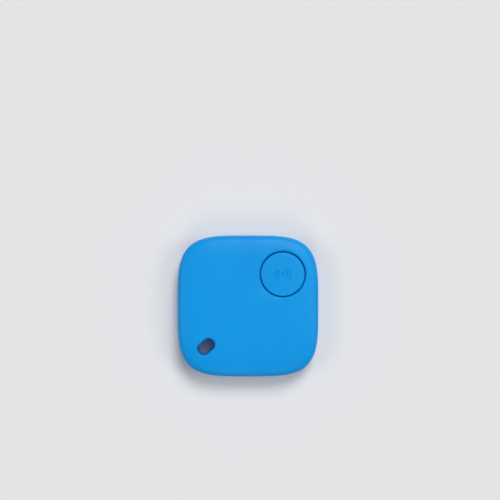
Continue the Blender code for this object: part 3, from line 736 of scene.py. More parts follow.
def new_group(name, inputs, outputs):
    """A shader node group with float inputs, each with its usual value, and float outputs."""
    tree = bpy.data.node_groups.new(name, "ShaderNodeTree")
    for label, value in inputs.items():
        tree.interface.new_socket(label, in_out="INPUT", socket_type="NodeSocketFloat").default_value = value
    for label in outputs:
        tree.interface.new_socket(label, in_out="OUTPUT", socket_type="NodeSocketFloat")
    return tree, tree.nodes.new("NodeGroupInput").outputs, tree.nodes.new("NodeGroupOutput").inputs


def make_grain():
    """The fine pitted texture of a moulding, with a broad unevenness and a few hairline scratches."""
    tree, given, out = new_group("moulded_grain", {"Size": 0.12 * MM}, ("Height", "Patch", "Scratch"))
    place = node(tree, "ShaderNodeTexCoord").outputs["Object"]
    scale = maths(tree, "DIVIDE", 1.0, given["Size"])
    smooth = {"feature": "SMOOTH_F1"}
    pits = node(tree, "ShaderNodeTexVoronoi", smooth, Vector=place, Scale=scale, Smoothness=0.6)
    fine = maths(tree, "MULTIPLY", scale, FUZZ_FINENESS)
    fuzz = node(tree, "ShaderNodeTexNoise", None, Vector=place, Scale=fine, Detail=2.0)
    fuzzy = maths(tree, "MULTIPLY", fuzz.outputs[0], FUZZ_SHARE)
    height = maths(tree, "ADD", pits.outputs["Distance"], fuzzy)
    broad = node(tree, "ShaderNodeTexNoise", None, Vector=place, Scale=90.0, Detail=4.0, Roughness=0.6)
    turned_place = node(
        tree, "ShaderNodeMapping", None, Vector=place, Rotation=(0.2, 0.1, 0.7), Scale=(60.0, 5200.0, 900.0)
    )
    hair = node(tree, "ShaderNodeTexNoise", None, Vector=turned_place.outputs[0], Scale=1.0, Detail=1.0)
    tree.links.new(height, out["Height"])
    tree.links.new(broad.outputs[0], out["Patch"])
    tree.links.new(between(tree, hair.outputs[0], *SCRATCH_RANGE), out["Scratch"])
    return tree


def make_drawn():
    """The fine parallel lines of rolled or drawn metal, and the soft stains of handling."""
    tree, given, out = new_group("drawn_lines", {"Turn": 0.0, "Fineness": 9000.0}, ("Lines", "Stain"))
    place = node(tree, "ShaderNodeTexCoord").outputs["Object"]
    angle = node(tree, "ShaderNodeCombineXYZ", None, Z=given["Turn"])
    along = node(tree, "ShaderNodeVectorRotate", {"rotation_type": "EULER_XYZ"}, Vector=place)
    tree.links.new(angle.outputs[0], along.inputs["Rotation"])
    drawn = node(tree, "ShaderNodeMapping", None, Vector=along.outputs[0], Scale=(0.03, 1.0, 1.0)).outputs[0]
    lines = node(tree, "ShaderNodeTexNoise", None, Vector=drawn, Scale=given["Fineness"], Detail=3.0)
    stain = node(tree, "ShaderNodeTexNoise", None, Vector=place, Scale=350.0, Detail=4.0, Roughness=0.65)
    tree.links.new(lines.outputs[0], out["Lines"])
    tree.links.new(stain.outputs[0], out["Stain"])
    return tree


GRAIN = make_grain()
DRAWN = make_drawn()


def use_group(tree, group, **inputs):
    made = tree.nodes.new("ShaderNodeGroup")
    made.node_tree = group
    for name, value in inputs.items():
        made.inputs[name].default_value = value
    return made.outputs


def bump(tree, height, strength, distance):
    surface = tree.nodes["Principled BSDF"]
    made = node(tree, "ShaderNodeBump", None, Height=height, Strength=strength, Distance=distance)
    tree.links.new(made.outputs[0], surface.inputs["Normal"])


def moulded(name, colour, second, roughness, size, depth=0.25, scratched=0.1):
    """Moulded plastic that drifts a little between two colours, with grain and faint scratches."""
    material = new_material(name, colour, roughness)
    tree = material.node_tree
    surface = tree.nodes["Principled BSDF"]
    grain = use_group(tree, GRAIN, Size=size)
    patch = between(tree, grain["Patch"], *PATCH_RANGE)
    tree.links.new(blend_colour(tree, patch, colour, second), surface.inputs["Base Color"])
    sheen = (roughness + change for change in GRAIN_SHEEN)
    rough = between(tree, grain["Patch"], *SHEEN_RANGE, *sheen)
    scratch = maths(tree, "MULTIPLY", grain["Scratch"], scratched)
    tree.links.new(maths(tree, "ADD", rough, scratch), surface.inputs["Roughness"])
    bump(tree, grain["Height"], depth, size * GRAIN_HEIGHT_SHARE)
    return material


def metal(name, colour, second, roughness, turn=0.0, fineness=9000.0):
    """Rolled or plated metal with drawn lines and soft stains."""
    material = new_material(name, colour, roughness, 1.0)
    tree = material.node_tree
    surface = tree.nodes["Principled BSDF"]
    drawn = use_group(tree, DRAWN, Turn=turn, Fineness=fineness)
    stain = between(tree, drawn["Stain"], *STAIN_RANGE)
    tree.links.new(blend_colour(tree, stain, colour, second), surface.inputs["Base Color"])
    rough = between(tree, drawn["Lines"], *SHEEN_RANGE, roughness - LINE_SHEEN, roughness + LINE_SHEEN)
    dull = maths(tree, "MULTIPLY", stain, STAIN_DULLING)
    tree.links.new(maths(tree, "ADD", rough, dull), surface.inputs["Roughness"])
    bump(tree, drawn["Lines"], LINE_STRENGTH, LINE_HEIGHT)
    return material


def board_mask(name, colour, second, roughness):
    """Solder mask over a woven board: green, glossy, and faintly ribbed by the weave under it."""
    material = moulded(name, colour, second, roughness, 0.08 * MM, 0.05)
    tree = material.node_tree
    place = node(tree, "ShaderNodeTexCoord").outputs["Object"]
    weave = []
    for way in ("X", "Y"):
        bands = {"wave_type": "BANDS", "bands_direction": way}
        wave = node(tree, "ShaderNodeTexWave", bands, Vector=place, Scale=1100.0, Distortion=0.4, Detail=1.0)
        weave.append(wave.outputs["Fac"])
    bump(tree, maths(tree, "MAXIMUM", *weave), WEAVE_STRENGTH, WEAVE_HEIGHT)
    tree.nodes["Principled BSDF"].inputs["Coat Weight"].default_value = MASK_COAT
    return material


BLUE = moulded("moulded_blue", (0.0006, 0.312, 0.775), (0.0006, 0.292, 0.755), 0.41, 0.11 * MM, 0.35)
BLUE.node_tree.nodes["Principled BSDF"].inputs["Specular IOR Level"].default_value = BLUE_SPECULAR
MASK = board_mask("green_mask", (0.012, 0.105, 0.035), (0.016, 0.125, 0.042), 0.3)
MASKED_COPPER = board_mask("green_mask_on_copper", (0.03, 0.20, 0.06), (0.035, 0.22, 0.07), 0.28)
GOLD = metal("plated_gold", (0.92, 0.68, 0.30), (0.84, 0.60, 0.26), 0.36, 0.4, 20000.0)
TIN = metal("solder_tin", (0.74, 0.75, 0.76), (0.62, 0.63, 0.65), 0.34, 0.9, 2500.0)
NICKEL = metal("bright_nickel", (0.64, 0.62, 0.57), (0.55, 0.53, 0.49), 0.36, 0.1, 20000.0)
STEEL = metal("rolled_steel", (0.66, 0.66, 0.67), (0.57, 0.57, 0.59), 0.38, CLIP_TURN, 20000.0)
CAN_STEEL = metal("cell_steel", (0.73, 0.73, 0.73), (0.64, 0.64, 0.65), 0.36, 0.6, 16000.0)
ETCHED = metal("etched_steel", (0.24, 0.24, 0.25), (0.18, 0.18, 0.19), 0.55, 0.6, 16000.0)
BRASS = metal("rolled_brass", (0.80, 0.58, 0.26), (0.68, 0.48, 0.21), 0.34, 0.3, 16000.0)
SILVER = metal("fired_silver", (0.58, 0.58, 0.56), (0.48, 0.48, 0.46), 0.55, 0.0, 3000.0)
COPPER_WIRE = metal("enamelled_copper", (0.72, 0.30, 0.14), (0.62, 0.24, 0.11), 0.32, 1.2)
INK = moulded("white_ink", (0.78, 0.79, 0.76), (0.72, 0.73, 0.70), 0.55, 0.05 * MM)
EPOXY = moulded("chip_epoxy", (0.018, 0.018, 0.020), (0.026, 0.026, 0.028), 0.46, 0.06 * MM, 0.5, 0.0)
SWITCH_BLACK = moulded("switch_nylon", (0.016, 0.016, 0.017), (0.024, 0.024, 0.025), 0.42, 0.08 * MM)
CERAMIC = moulded("capacitor_ceramic", (0.40, 0.27, 0.16), (0.33, 0.22, 0.13), 0.45, 0.05 * MM, 0.4, 0.0)
PIEZO_GREY = moulded("piezo_ceramic_grey", (0.55, 0.54, 0.49), (0.48, 0.47, 0.43), 0.50, 0.07 * MM, 0.4, 0.0)
GLAZE = moulded("resistor_glaze", (0.012, 0.012, 0.014), (0.020, 0.020, 0.024), 0.25, 0.05 * MM, 0.1, 0.0)
FERRITE = moulded("pressed_ferrite", (0.055, 0.054, 0.056), (0.085, 0.083, 0.082), 0.65, 0.05 * MM, 0.8, 0.0)
LED_WHITE = moulded("lamp_housing", (0.80, 0.80, 0.76), (0.74, 0.74, 0.70), 0.40, 0.05 * MM)
PHOSPHOR = moulded("lamp_phosphor", (0.85, 0.68, 0.10), (0.78, 0.60, 0.08), 0.60, 0.04 * MM)
GASKET = moulded("gasket_nylon", (0.15, 0.15, 0.16), (0.20, 0.20, 0.21), 0.55, 0.06 * MM)
PELLET = moulded("pressed_pellet", (0.045, 0.043, 0.042), (0.075, 0.070, 0.066), 0.80, 0.10 * MM, 1.0, 0.0)
FOAM = moulded("foam_tape", (0.72, 0.70, 0.64), (0.62, 0.60, 0.55), 0.80, 0.06 * MM, 1.0, 0.0)
RED_VINYL = moulded("red_vinyl", (0.56, 0.014, 0.012), (0.48, 0.010, 0.010), 0.36, 0.05 * MM)
BLACK_VINYL = moulded("black_vinyl", (0.014, 0.014, 0.015), (0.022, 0.022, 0.023), 0.36, 0.05 * MM)
LENS = moulded("lamp_lens", (0.95, 0.93, 0.80), (0.93, 0.90, 0.76), 0.12, 0.05 * MM, 0.05, 0.0)
LENS.node_tree.nodes["Principled BSDF"].inputs["Transmission Weight"].default_value = LENS_CLEARNESS


# Housing


def front_surface(inset, steps):
    """Rings up the front surface, or up the one that lies inset under it, from the seam to the pole."""
    rise = DEPTH - inset - SEAM_HEIGHT
    rings = []
    for step in range(1, steps):
        angle = QUARTER * (step / steps) ** ROLL_EASE
        share = math.cos(angle) ** (2 / FACE_POWER)
        rings.append(housing_ring(inset, SEAM_HEIGHT + rise * math.sin(angle) ** (2 / FACE_POWER), share))
    return rings


def mouth(ring_at, radius, steps, past):
    """Rings up a rounded mouth that follows the face, and past the face to where a cutter ends."""
    edge = fillet(radius, steps, MOUTH_ANGLE)
    out, up = edge[-1]
    slope = math.tan(math.radians(90 - MOUTH_ANGLE))
    return [ring_at(out, radius - up) for out, up in edge] + [ring_at(out + past, radius - up - past * slope)]


def button_hole():
    def edge_ring(out, drop):
        return face_ring(HOLE_RADIUS + out, drop, BUTTON_CENTRE)

    past = HOLE_MOUTH_PAST
    rings = [round_ring(HOLE_RADIUS, z, BUTTON_CENTRE) for z in (SEAM_HEIGHT, CEILING - WALL / 2)]
    rings += mouth(edge_ring, HOLE_EDGE_RADIUS, HOLE_EDGE_STEPS, past)
    rings.append(round_ring(HOLE_RADIUS + HOLE_EDGE_RADIUS + past, DEPTH + WALL, BUTTON_CENTRE))
    return loft(rings, HOLE_SEGMENTS, "cap")


def front_slot():
    past = SLOT_MOUTH_PAST
    rings = [slot_ring(0, FRONT_SEAM - WALL), slot_ring(0, CEILING)]
    rings += mouth(lambda out, drop: slot_ring(out, drop=drop), SLOT_EDGE_RADIUS, SLOT_EDGE_STEPS, past)
    rings.append(slot_ring(SLOT_EDGE_RADIUS + past, DEPTH + WALL))
    return loft(rings, SLOT_SEGMENTS, "cap")


def sleeve(low, high, grow=SLEEVE_WALL):
    """A bar of the slot's outline with a wall's width round it."""
    return loft([slot_ring(grow, low), slot_ring(grow, high)], SLOT_SEGMENTS, "cap")


def front_cover():
    radius = SEAM_EDGE_RADIUS
    seam = [housing_ring(WALL, FRONT_SEAM)]
    seam += [housing_ring(out, FRONT_SEAM + radius - up) for out, up in reversed(fillet(radius, EDGE_STEPS))]
    rings = front_surface(WALL, INNER_ROLL_STEPS)[::-1] + seam + front_surface(0, ROLL_STEPS)
    cover = piece("front_shell", loft(rings, HOUSING_SEGMENTS), BLUE)
    root = DEPTH - GUIDE_ROOT * WALL
    steps = (
        ("UNION", drill(HOLE_RADIUS + GUIDE_WALL, CEILING - GUIDE_DROP, root, BUTTON_CENTRE, HOLE_SEGMENTS)),
        ("UNION", sleeve(FRONT_SEAM, root)),
        ("DIFFERENCE", button_hole()),
        ("DIFFERENCE", front_slot()),
    )
    carve(cover, steps)
    stands_for(cover, "front_cover", "front_half")


def rear_slot():
    radius = SLOT_EDGE_RADIUS
    edge = reversed(fillet(radius, ROUND_STEPS))
    rings = [slot_ring(radius, -WALL)] + [slot_ring(out, radius - up) for out, up in edge]
    return loft(rings + [slot_ring(0, FRONT_SEAM + WALL)], SLOT_SEGMENTS, "cap")


def rear_cover():
    """Rings from the middle of its floor, up and over its lip, and down and round to its flat back."""
    radius, inner, lip = SEAM_EDGE_RADIUS, FLOOR_EDGE_RADIUS, LIP_EDGE_RADIUS
    rings = [housing_ring(LIP_INSET + inner, FLOOR_THICKNESS, share) for share in POLE_SHARES]
    edge = reversed(fillet(inner, EDGE_STEPS))
    rings += [housing_ring(LIP_INSET + out, FLOOR_THICKNESS + inner - up) for out, up in edge]
    edge = fillet(lip, LIP_EDGE_STEPS)
    rings += [housing_ring(LIP_INSET + out, LIP_TOP - lip + up) for out, up in edge]
    rings += [housing_ring(LIP_OUTSET + out, LIP_TOP - lip + up) for out, up in reversed(edge)]
    rings.append(housing_ring(LIP_OUTSET, REAR_SEAM))
    rings += [housing_ring(out, REAR_SEAM - radius + up) for out, up in reversed(fillet(radius, EDGE_STEPS))]
    for step in range(1, REAR_ROLL_STEPS + 1):
        angle = math.radians(90 * step / REAR_ROLL_STEPS)
        height = SEAM_HEIGHT * (1 - math.sin(angle))
        if height < REAR_SEAM - radius:
            rings.append(housing_ring(REAR_EDGE_RUN * (1 - math.cos(angle)), height))
    rings += [housing_ring(REAR_EDGE_RUN, 0, share) for share in reversed(POLE_SHARES)]
    cover = piece("rear_shell", loft(rings, HOUSING_SEGMENTS), BLUE)
    root = FLOOR_THICKNESS / 2
    steps = [("UNION", sounder_seat(root))] + [("UNION", stake(place, root)) for place in STAKES]
    steps.append(("UNION", sleeve(root, REAR_SEAM)))
    steps += [("DIFFERENCE", rear_slot()), ("DIFFERENCE", pry_notch())]
    carve(cover, steps)
    stands_for(cover, "rear_cover")


def sounder_seat(root):
    low, high, centre = placed("piezo_adhesive")
    outer = (high.x - low.x) / 2
    inner, top = outer - SOUNDER_SEAT_WIDTH, low.z - SEAT_GAP
    profile = [(outer, root), (outer, top), (inner, top), (inner, root)]
    return turned(profile, centre, SOUNDER_SEGMENTS, "joined")


def stake(place, root):
    """A standoff under the board, a pin through it, and the mushroom head that a hot iron leaves."""
    shoulder = BOARD_BOTTOM - SEAT_GAP
    head = BOARD_TOP + SEAT_GAP
    profile = [(STANDOFF_RADIUS, root), (STANDOFF_RADIUS, shoulder), (STAKE_RADIUS, shoulder)]
    profile.append((STAKE_RADIUS, head))
    for turn in (math.radians(degrees) for degrees in STAKE_HEAD_TURNS):
        profile.append((STAKE_HEAD_RADIUS * math.cos(turn), head + STAKE_HEAD_HEIGHT * math.sin(turn)))
    return turned(profile, place, SMALL_SEGMENTS)


def pry_notch():
    """A shallow wedge under the seam, at the middle of the right-hand side."""
    low = Vector((HALF_WIDTH - NOTCH_DEPTH, -NOTCH_WIDTH / 2, REAR_SEAM - NOTCH_HEIGHT))
    high = Vector((HALF_WIDTH + WALL, NOTCH_WIDTH / 2, REAR_SEAM + WALL))
    return rounded_block(low, high, NOTCH_EDGE_RADIUS, 3)


# Button


def mark_depth(x, y):
    """The sunk mark in the middle of the cap: a dot that sends out waves to both sides."""
    out = math.hypot(x, y)
    turn = math.atan2(y, abs(x))
    gap = out - MARK_DOT_RADIUS
    for radius in MARK_WAVES:
        if abs(turn) < MARK_WAVE_HALF_ANGLE:
            away = abs(out - radius)
        else:
            end = Vector((math.cos(MARK_WAVE_HALF_ANGLE), math.sin(MARK_WAVE_HALF_ANGLE))) * radius
            away = (Vector((abs(x), abs(y))) - end).length
        gap = min(gap, away - MARK_LINE / 2)
    share = min(1.0, max(0.0, 0.5 - gap / MARK_SLOPE))
    return MARK_DEPTH * share * share * (3 - 2 * share)


def marked_ring(radius):
    """A circle on the cap that dips into the mark."""

    def point(turn):
        across, up = radius * math.cos(turn), radius * math.sin(turn)
        x, y = BUTTON_CENTRE.x + across, BUTTON_CENTRE.y + up
        return Vector((x, y, face_height(x, y) - mark_depth(across, up)))

    return point


def button():
    edge, small = BUTTON_EDGE_RADIUS, CAP_EASE
    under = CEILING - CAP_UNDERCUT
    skirt = BUTTON_RADIUS - CAP_SKIRT
    flange_top = CEILING - GUIDE_DROP - SEAT_GAP
    flange_low = flange_top - FLANGE_THICKNESS
    profile = [(NUB_RADIUS - small, button_low.z), (NUB_RADIUS, button_low.z + small), (NUB_RADIUS, under)]
    profile += [(skirt, under), (skirt, flange_low + small), (skirt + small, flange_low)]
    profile += [(FLANGE_RADIUS - small, flange_low), (FLANGE_RADIUS, flange_low + small)]
    profile += [(FLANGE_RADIUS, flange_top - small), (FLANGE_RADIUS - small, flange_top)]
    profile.append((BUTTON_RADIUS, flange_top))
    rings = [round_ring(radius, z, BUTTON_CENTRE) for radius, z in profile]
    for out, up in fillet(edge, ROUND_STEPS):
        rings.append(face_ring(BUTTON_RADIUS - out, edge - up, BUTTON_CENTRE))
    radius = BUTTON_RADIUS - edge - CAP_RING_STEP
    while radius > 0:
        rings.append(marked_ring(radius))
        radius -= CAP_RING_STEP if radius > MARK_REACH else MARK_RING_STEP
    cap = piece("button_cap", loft(rings, HOUSING_SEGMENTS), BLUE)
    stands_for(cap, "find_button", "button")


# Circuit board


def spot(x, y):
    """A place on the board from millimetres."""
    return Vector((x, y)) * MM


def circuit_board():
    edge = BOARD_EDGE
    below, above = BOARD_BOTTOM - WALL, BOARD_TOP + WALL
    outline = ((edge, BOARD_BOTTOM), (0, BOARD_BOTTOM + edge), (0, BOARD_TOP - edge), (edge, BOARD_TOP))
    rings = [housing_ring(BOARD_INSET + inset, z) for inset, z in outline]
    board = piece("board", loft(rings, HOUSING_SEGMENTS, "cap"), MASK)
    grow = SLEEVE_WALL + FREE_GAP
    half = SLOT_WIDTH / 2 + grow
    corner = block(SLOT_CENTRE + Vector((-HALF_WIDTH, -half, below)), SLOT_CENTRE + Vector((0, half, above)))
    cuts = [
        drill(PIEZO_RADIUS + FREE_GAP, below, above, PIEZO_CENTRE, FINE_SEGMENTS),
        sleeve(below, above, grow),
        spun(corner, SLOT_TILT, SLOT_CENTRE),
    ]
    cuts += [drill(STAKE_RADIUS + STAKE_CLEARANCE, below, above, place) for place in STAKES]
    carve(board, [("DIFFERENCE", cut) for cut in cuts])
    stands_for(board, "circuit_board")


def board_copper():
    """The runs under the mask, and the bare plated rings and pads."""
    plated = BOARD_TOP + PLATED_COPPER
    runs = []
    for x0, y0, x1, y1 in TRACES:
        start, end = spot(x0, y0), spot(x1, y1)
        across, up = end - start
        straight = abs(across) - abs(up)
        step = (math.copysign(straight, across), 0) if straight > 0 else (0, math.copysign(-straight, up))
        route = [start, start + Vector(step), end]
        if abs(straight) < TRACE_WIDTH or min(abs(across), abs(up)) < TRACE_WIDTH:
            route = [start, end]
        runs.append(ribbon(route, TRACE_WIDTH, BOARD_TOP, COPPER))
    edge = COPPER / 2
    bare = []
    for place in VIAS:
        bare.append(washer(VIA_RADIUS / 2, VIA_RADIUS, BOARD_TOP, plated, spot(*place), edge, VIA_SEGMENTS))
    for place in TEST_PADS:
        bare.append(disc(TEST_PAD_RADIUS, BOARD_TOP, plated, spot(*place), edge, SMALL_SEGMENTS))
    copper = piece("board_copper", joined(runs, bare), MASKED_COPPER, GOLD)
    even_shading(copper)
    stands_for(copper)


def frame_round(node_name, grow):
    low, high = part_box(node_name)
    corners = ((low.x, low.y, -1, -1), (high.x, low.y, 1, -1), (high.x, high.y, 1, 1), (low.x, high.y, -1, 1))
    return [(x + sign_x * grow, y + sign_y * grow) for x, y, sign_x, sign_y in corners]


def printed_arc(centre, radius, turns):
    points = []
    for turn in map(math.radians, turns):
        points.append(centre.xy + radius * Vector((math.cos(turn), math.sin(turn))))
    return ribbon(points, PRINT_ARC_LINE, BOARD_TOP, PRINT_HEIGHT)


def board_print():
    """White outlines round the parts, arcs round the cell and the sounder, and a plus by the clip."""
    lines = []
    for name in PRINTED:
        lines.append(ribbon(frame_round(name, PRINT_GROW), PRINT_LINE, BOARD_TOP, PRINT_HEIGHT, closed=True))
    lines.append(printed_arc(CELL_CENTRE, CELL_RADIUS + CELL_RING_GROW, CELL_RING_TURNS))
    lines.append(printed_arc(PIEZO_CENTRE, PIEZO_RADIUS + PIEZO_RING_GROW, PIEZO_RING_TURNS))
    top = BOARD_TOP + PRINT_HEIGHT
    lines += plus_sign(spot(*PRINT_PLUS), PRINT_PLUS_ARM, PRINT_PLUS_WIDTH, BOARD_TOP, top)
    stands_for(piece("board_print", joined(lines), INK))


# Small parts on the board


def long_axis(size):
    return 0 if size.x > size.y else 1


def solder_fillet(low, high, axis, side, rise, width):
    """A small concave wedge of solder at one end of a part, from the board up to its end cap."""
    end = (high if side > 0 else low)[axis]
    across = (low + high)[1 - axis] / 2

    def to_point(out, up, along):
        place = Vector((0, 0, BOARD_TOP + up))
        place[axis] = end + side * out
        place[1 - axis] = across + along
        return place

    return prism([(PAD_REACH * out, rise * up) for out, up in SOLDER_CURVE], width, to_point)


def end_capped(node_name, *materials, slot, radius=CHIP_EDGE):
    """A chip part: its body, a metal cap over each end, and the solder that holds it."""
    low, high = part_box(node_name)
    size = high - low
    axis = long_axis(size)
    end = size[axis] * END_SHARE
    inset = Vector((END_PROUD, END_PROUD, END_PROUD))
    inset[axis] = end - END_PROUD
    rise = (size.z + high.z - BOARD_TOP) / 2 * SOLDER_RISE_SHARE
    caps, solder = [], []
    for side in (-1, 1):
        cap_low, cap_high = low.copy(), high.copy()
        if side < 0:
            cap_high[axis] = low[axis] + end
        else:
            cap_low[axis] = high[axis] - end
        caps.append(rounded_block(cap_low, cap_high, radius, 3))
        solder.append(solder_fillet(low, high, axis, side, rise, size[1 - axis] * SOLDER_WIDTH_SHARE))
    body = rounded_block(low + inset, high - inset, radius)
    stands_for(piece(node_name + "_chip", joined([body], caps, solder), *materials), node_name)


def radio_chip():
    low, high, middle = placed("radio_chip")
    body = piece("radio_chip_body", rounded_block(low + UP * END_PROUD, high, RADIO_EDGE, 3), EPOXY)
    dimple = (low.x + PIN_ONE_INSET, high.y - PIN_ONE_INSET)
    mark = drill(PIN_ONE_RADIUS, high.z - PIN_ONE_DEPTH, high.z + WALL, dimple, POST_SEGMENTS)
    carve(body, [("DIFFERENCE", mark)])
    stands_for(body, "radio_chip")
    pads = []
    for quarter in range(4):
        for number in range(CHIP_PADS):
            y = middle.y + (number - (CHIP_PADS - 1) / 2) * CHIP_PAD_PITCH
            near = Vector((high.x - CHIP_PAD_UNDER, y - CHIP_PAD_HALF_WIDTH, BOARD_TOP))
            far = Vector((high.x + CHIP_PAD_OUT, y + CHIP_PAD_HALF_WIDTH, low.z + CHIP_PAD_EDGE))
            pads.append(spun(rounded_block(near, far, CHIP_PAD_EDGE, 1), QUARTER * quarter, middle))
    stands_for(piece("radio_chip_pads", joined(pads), TIN))


def crystal(node_name, name):
    """A ceramic tray under a drawn metal lid, with a plated pad at each corner."""
    low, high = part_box(node_name)
    split = low.z + (high.z - low.z) * TRAY_SHARE
    tray = rounded_block(low, Vector((high.x, high.y, split)), TRAY_EDGE)
    lid = rounded_block(Vector((low.x, low.y, split)) + LID_INSET, high - LID_INSET, LID_EDGE, 4)
    size = Vector((CRYSTAL_PAD, CRYSTAL_PAD, low.z - BOARD_TOP))
    pads = []
    for x in (low.x, high.x - CRYSTAL_PAD):
        for y in (low.y, high.y - CRYSTAL_PAD):
            corner = Vector((x, y, BOARD_TOP))
            pads.append(rounded_block(corner, corner + size, CRYSTAL_PAD_EDGE, 1))
    stands_for(piece(name, joined([tray], [lid], pads), EPOXY, NICKEL, GOLD), node_name)


def inductor():
    """A pressed block with a round winding that shows in its top, soldered at each end."""
    low, high, centre = placed("inductor")
    choke = piece("choke", rounded_block(low, high, CHOKE_EDGE, 3), FERRITE)
    inner, outer, floor_z = CHOKE_RING - CHOKE_GROOVE, CHOKE_RING + CHOKE_GROOVE, high.z - CHOKE_GROOVE
    profile = [(inner, floor_z), (outer, floor_z), (outer, high.z + WALL), (inner, high.z + WALL)]
    carve(choke, [("DIFFERENCE", turned(profile, centre, BORE_SEGMENTS, "joined"))])
    stands_for(choke, "inductor")
    half = CHOKE_GROOVE / 2
    wire = half - CHOKE_WIRE_GAP
    wire_low = floor_z + CHOKE_WIRE_SEAT
    wire_top = wire_low + CHOKE_WIRE
    wires = []
    for radius in (CHOKE_RING - half, CHOKE_RING + half):
        wires.append(washer(radius - wire, radius + wire, wire_low, wire_top, centre, CHOKE_WIRE_EDGE))
    axis = long_axis(high - low)
    solder = [solder_fillet(low, high, axis, side, CHOKE_SOLDER_RISE, CHOKE_SOLDER_WIDTH) for side in (-1, 1)]
    stands_for(piece("choke_winding", joined(wires, solder), COPPER_WIRE, TIN))


def transistor():
    """A moulded body with drafted sides and three bent legs."""
    low, high, middle = placed("driver_transistor")
    mesh = block(low + UP * DRIVER_LIFT, high)
    for vert in mesh.verts:
        if vert.co.z > middle.z:
            vert.co.xy = middle.xy + (vert.co.xy - middle.xy) * DRIVER_DRAFT
    round_edges(mesh, list(mesh.edges), CHIP_EDGE, 3)
    start = (high.y - low.y) / 2 - LEG_ROOT
    knee, rise, foot = start + LEG_KNEE, low.z + LEG_RISE, BOARD_TOP + LEG_FOOT
    corners = [(start, rise), (knee, rise), (knee, foot), (start + LEG_TOE, foot)]
    legs = []
    for side, offset in LEG_PLACES:
        def to_point(out, up, along, side=side, offset=offset):
            return Vector((middle.x + offset + along, middle.y + side * out, up))

        legs.append(bent_sheet(corners, LEG_SHEET, LEG_BEND, LEG_WIDTH, to_point))
    stands_for(piece("sound_driver", joined([mesh], legs), EPOXY, TIN), "driver_transistor")


def lamp():
    """The indicator light: a white tray with plated ends, its yellow fill and a clear lens."""
    end_capped("led_base", LED_WHITE, GOLD, TIN, slot="led_white", radius=THIN_CHIP_EDGE)
    low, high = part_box("led_lens")
    stands_for(piece("lamp_lens", rounded_block(low, high, LENS_EDGE, 4), LENS), "led_lens")
    foot = Vector((low.x, low.y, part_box("led_base")[1].z)) + LAMP_FILL_INSET
    fill = rounded_block(foot, Vector((high.x, high.y, low.z)) - LAMP_FILL_INSET, LAMP_FILL_EDGE, 1)
    stands_for(piece("lamp_fill", fill, PHOSPHOR))


# Coin cell


def coin_cell():
    top, inner = CELL_HIGH.z, CELL_RADIUS - CELL_SHEET
    cap_low, cap_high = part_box("cell_cap")
    radius = cap_high.x - CELL_CENTRE.x
    crimp, shelf, bevel = radius + GASKET_WIDTH, CELL_RIM + CELL_SHEET, CELL_BEVEL
    rim = fillet(bevel, CAN_EDGE_STEPS)
    profile = [(inner - CELL_EASE, top - CELL_SHEET), (inner, top - CELL_SHEET - CELL_EASE), (inner, shelf)]
    profile += [(crimp, shelf), (crimp, CELL_RIM + CRIMP_EASE), (crimp + CRIMP_EASE, CELL_RIM)]
    profile += [(CELL_RADIUS - out, CELL_RIM + bevel - up) for out, up in reversed(rim)]
    profile += [(CELL_RADIUS - out, top - bevel + up) for out, up in rim]
    profile += [(out * MM, top + up * MM) for out, up in CELL_LINE]
    can = piece("coin_cell_can", turned(profile, CELL_CENTRE, CELL_SEGMENTS), CAN_STEEL)
    across = Vector((math.cos(CLIP_TURN + QUARTER), math.sin(CLIP_TURN + QUARTER)))
    place = CELL_CENTRE.xy - across * CELL_RADIUS * SIGN_OUT_SHARE
    sunk = top - SIGN_DEPTH
    carve(can, [("DIFFERENCE", bar) for bar in plus_sign(place, SIGN_ARM, SIGN_WIDTH, sunk, top + WALL)])
    stands_for(can, "cell_can")
    etched = plus_sign(place, SIGN_ARM - SIGN_DEPTH, SIGN_WIDTH - SIGN_DEPTH, sunk, top - SIGN_DEPTH / 2)
    stands_for(piece("cell_sign", joined(etched), ETCHED))
    ledge, wall, ease = CELL_RIM + CELL_SHEET / 2, radius - CELL_SHEET, CAP_LEDGE_EASE
    profile = [(radius - 2 * bevel, cap_low.z), (radius - (1 + CAP_CURL_SHARE) * bevel, ledge - CELL_EASE)]
    profile += [(radius - bevel, ledge), (radius - ease, ledge), (radius, ledge + ease), (radius, cap_high.z)]
    profile += [(wall, cap_high.z), (wall, shelf), (0.5 * radius, cap_low.z + CELL_SHEET)]
    cap = piece("coin_cell_cap", turned(profile, CELL_CENTRE, FINE_SEGMENTS), NICKEL)
    stands_for(cap, "cell_cap")


def battery_clip():
    low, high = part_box("battery_clip")
    half = CLIP_SHEET / 2
    leg = CELL_RADIUS + FREE_GAP + half
    arm = [(leg + half + CLIP_FOOT, low.z + half), (leg, low.z + half), (leg, high.z - half)]
    corners = arm + [(-across, up) for across, up in reversed(arm)]

    def to_point(across, up, along):
        return Vector((CELL_CENTRE.x + across, CELL_CENTRE.y + along, up))

    mesh = spun(bent_sheet(corners, CLIP_SHEET, CLIP_BEND, CLIP_WIDTH, to_point), CLIP_TURN, CELL_CENTRE)
    clip = piece("cell_clip", mesh, STEEL)
    reach = Vector((CLIP_WINDOW_LENGTH / 2, CLIP_WINDOW_WIDTH / 2, WALL))
    steps = []
    for side in (-1, 1):
        offset = side * (CLIP_TONGUE_WIDTH + CLIP_WINDOW_WIDTH) / 2
        middle = Vector((CELL_CENTRE.x, CELL_CENTRE.y + offset, high.z))
        window = rounded_plate(middle - reach, middle + reach, CLIP_WINDOW_WIDTH * WINDOW_ROUND_SHARE, 6)
        steps.append(("DIFFERENCE", spun(window, CLIP_TURN, CELL_CENTRE)))
    carve(clip, steps, CLIP_EDGE)
    stands_for(clip, "battery_clip")


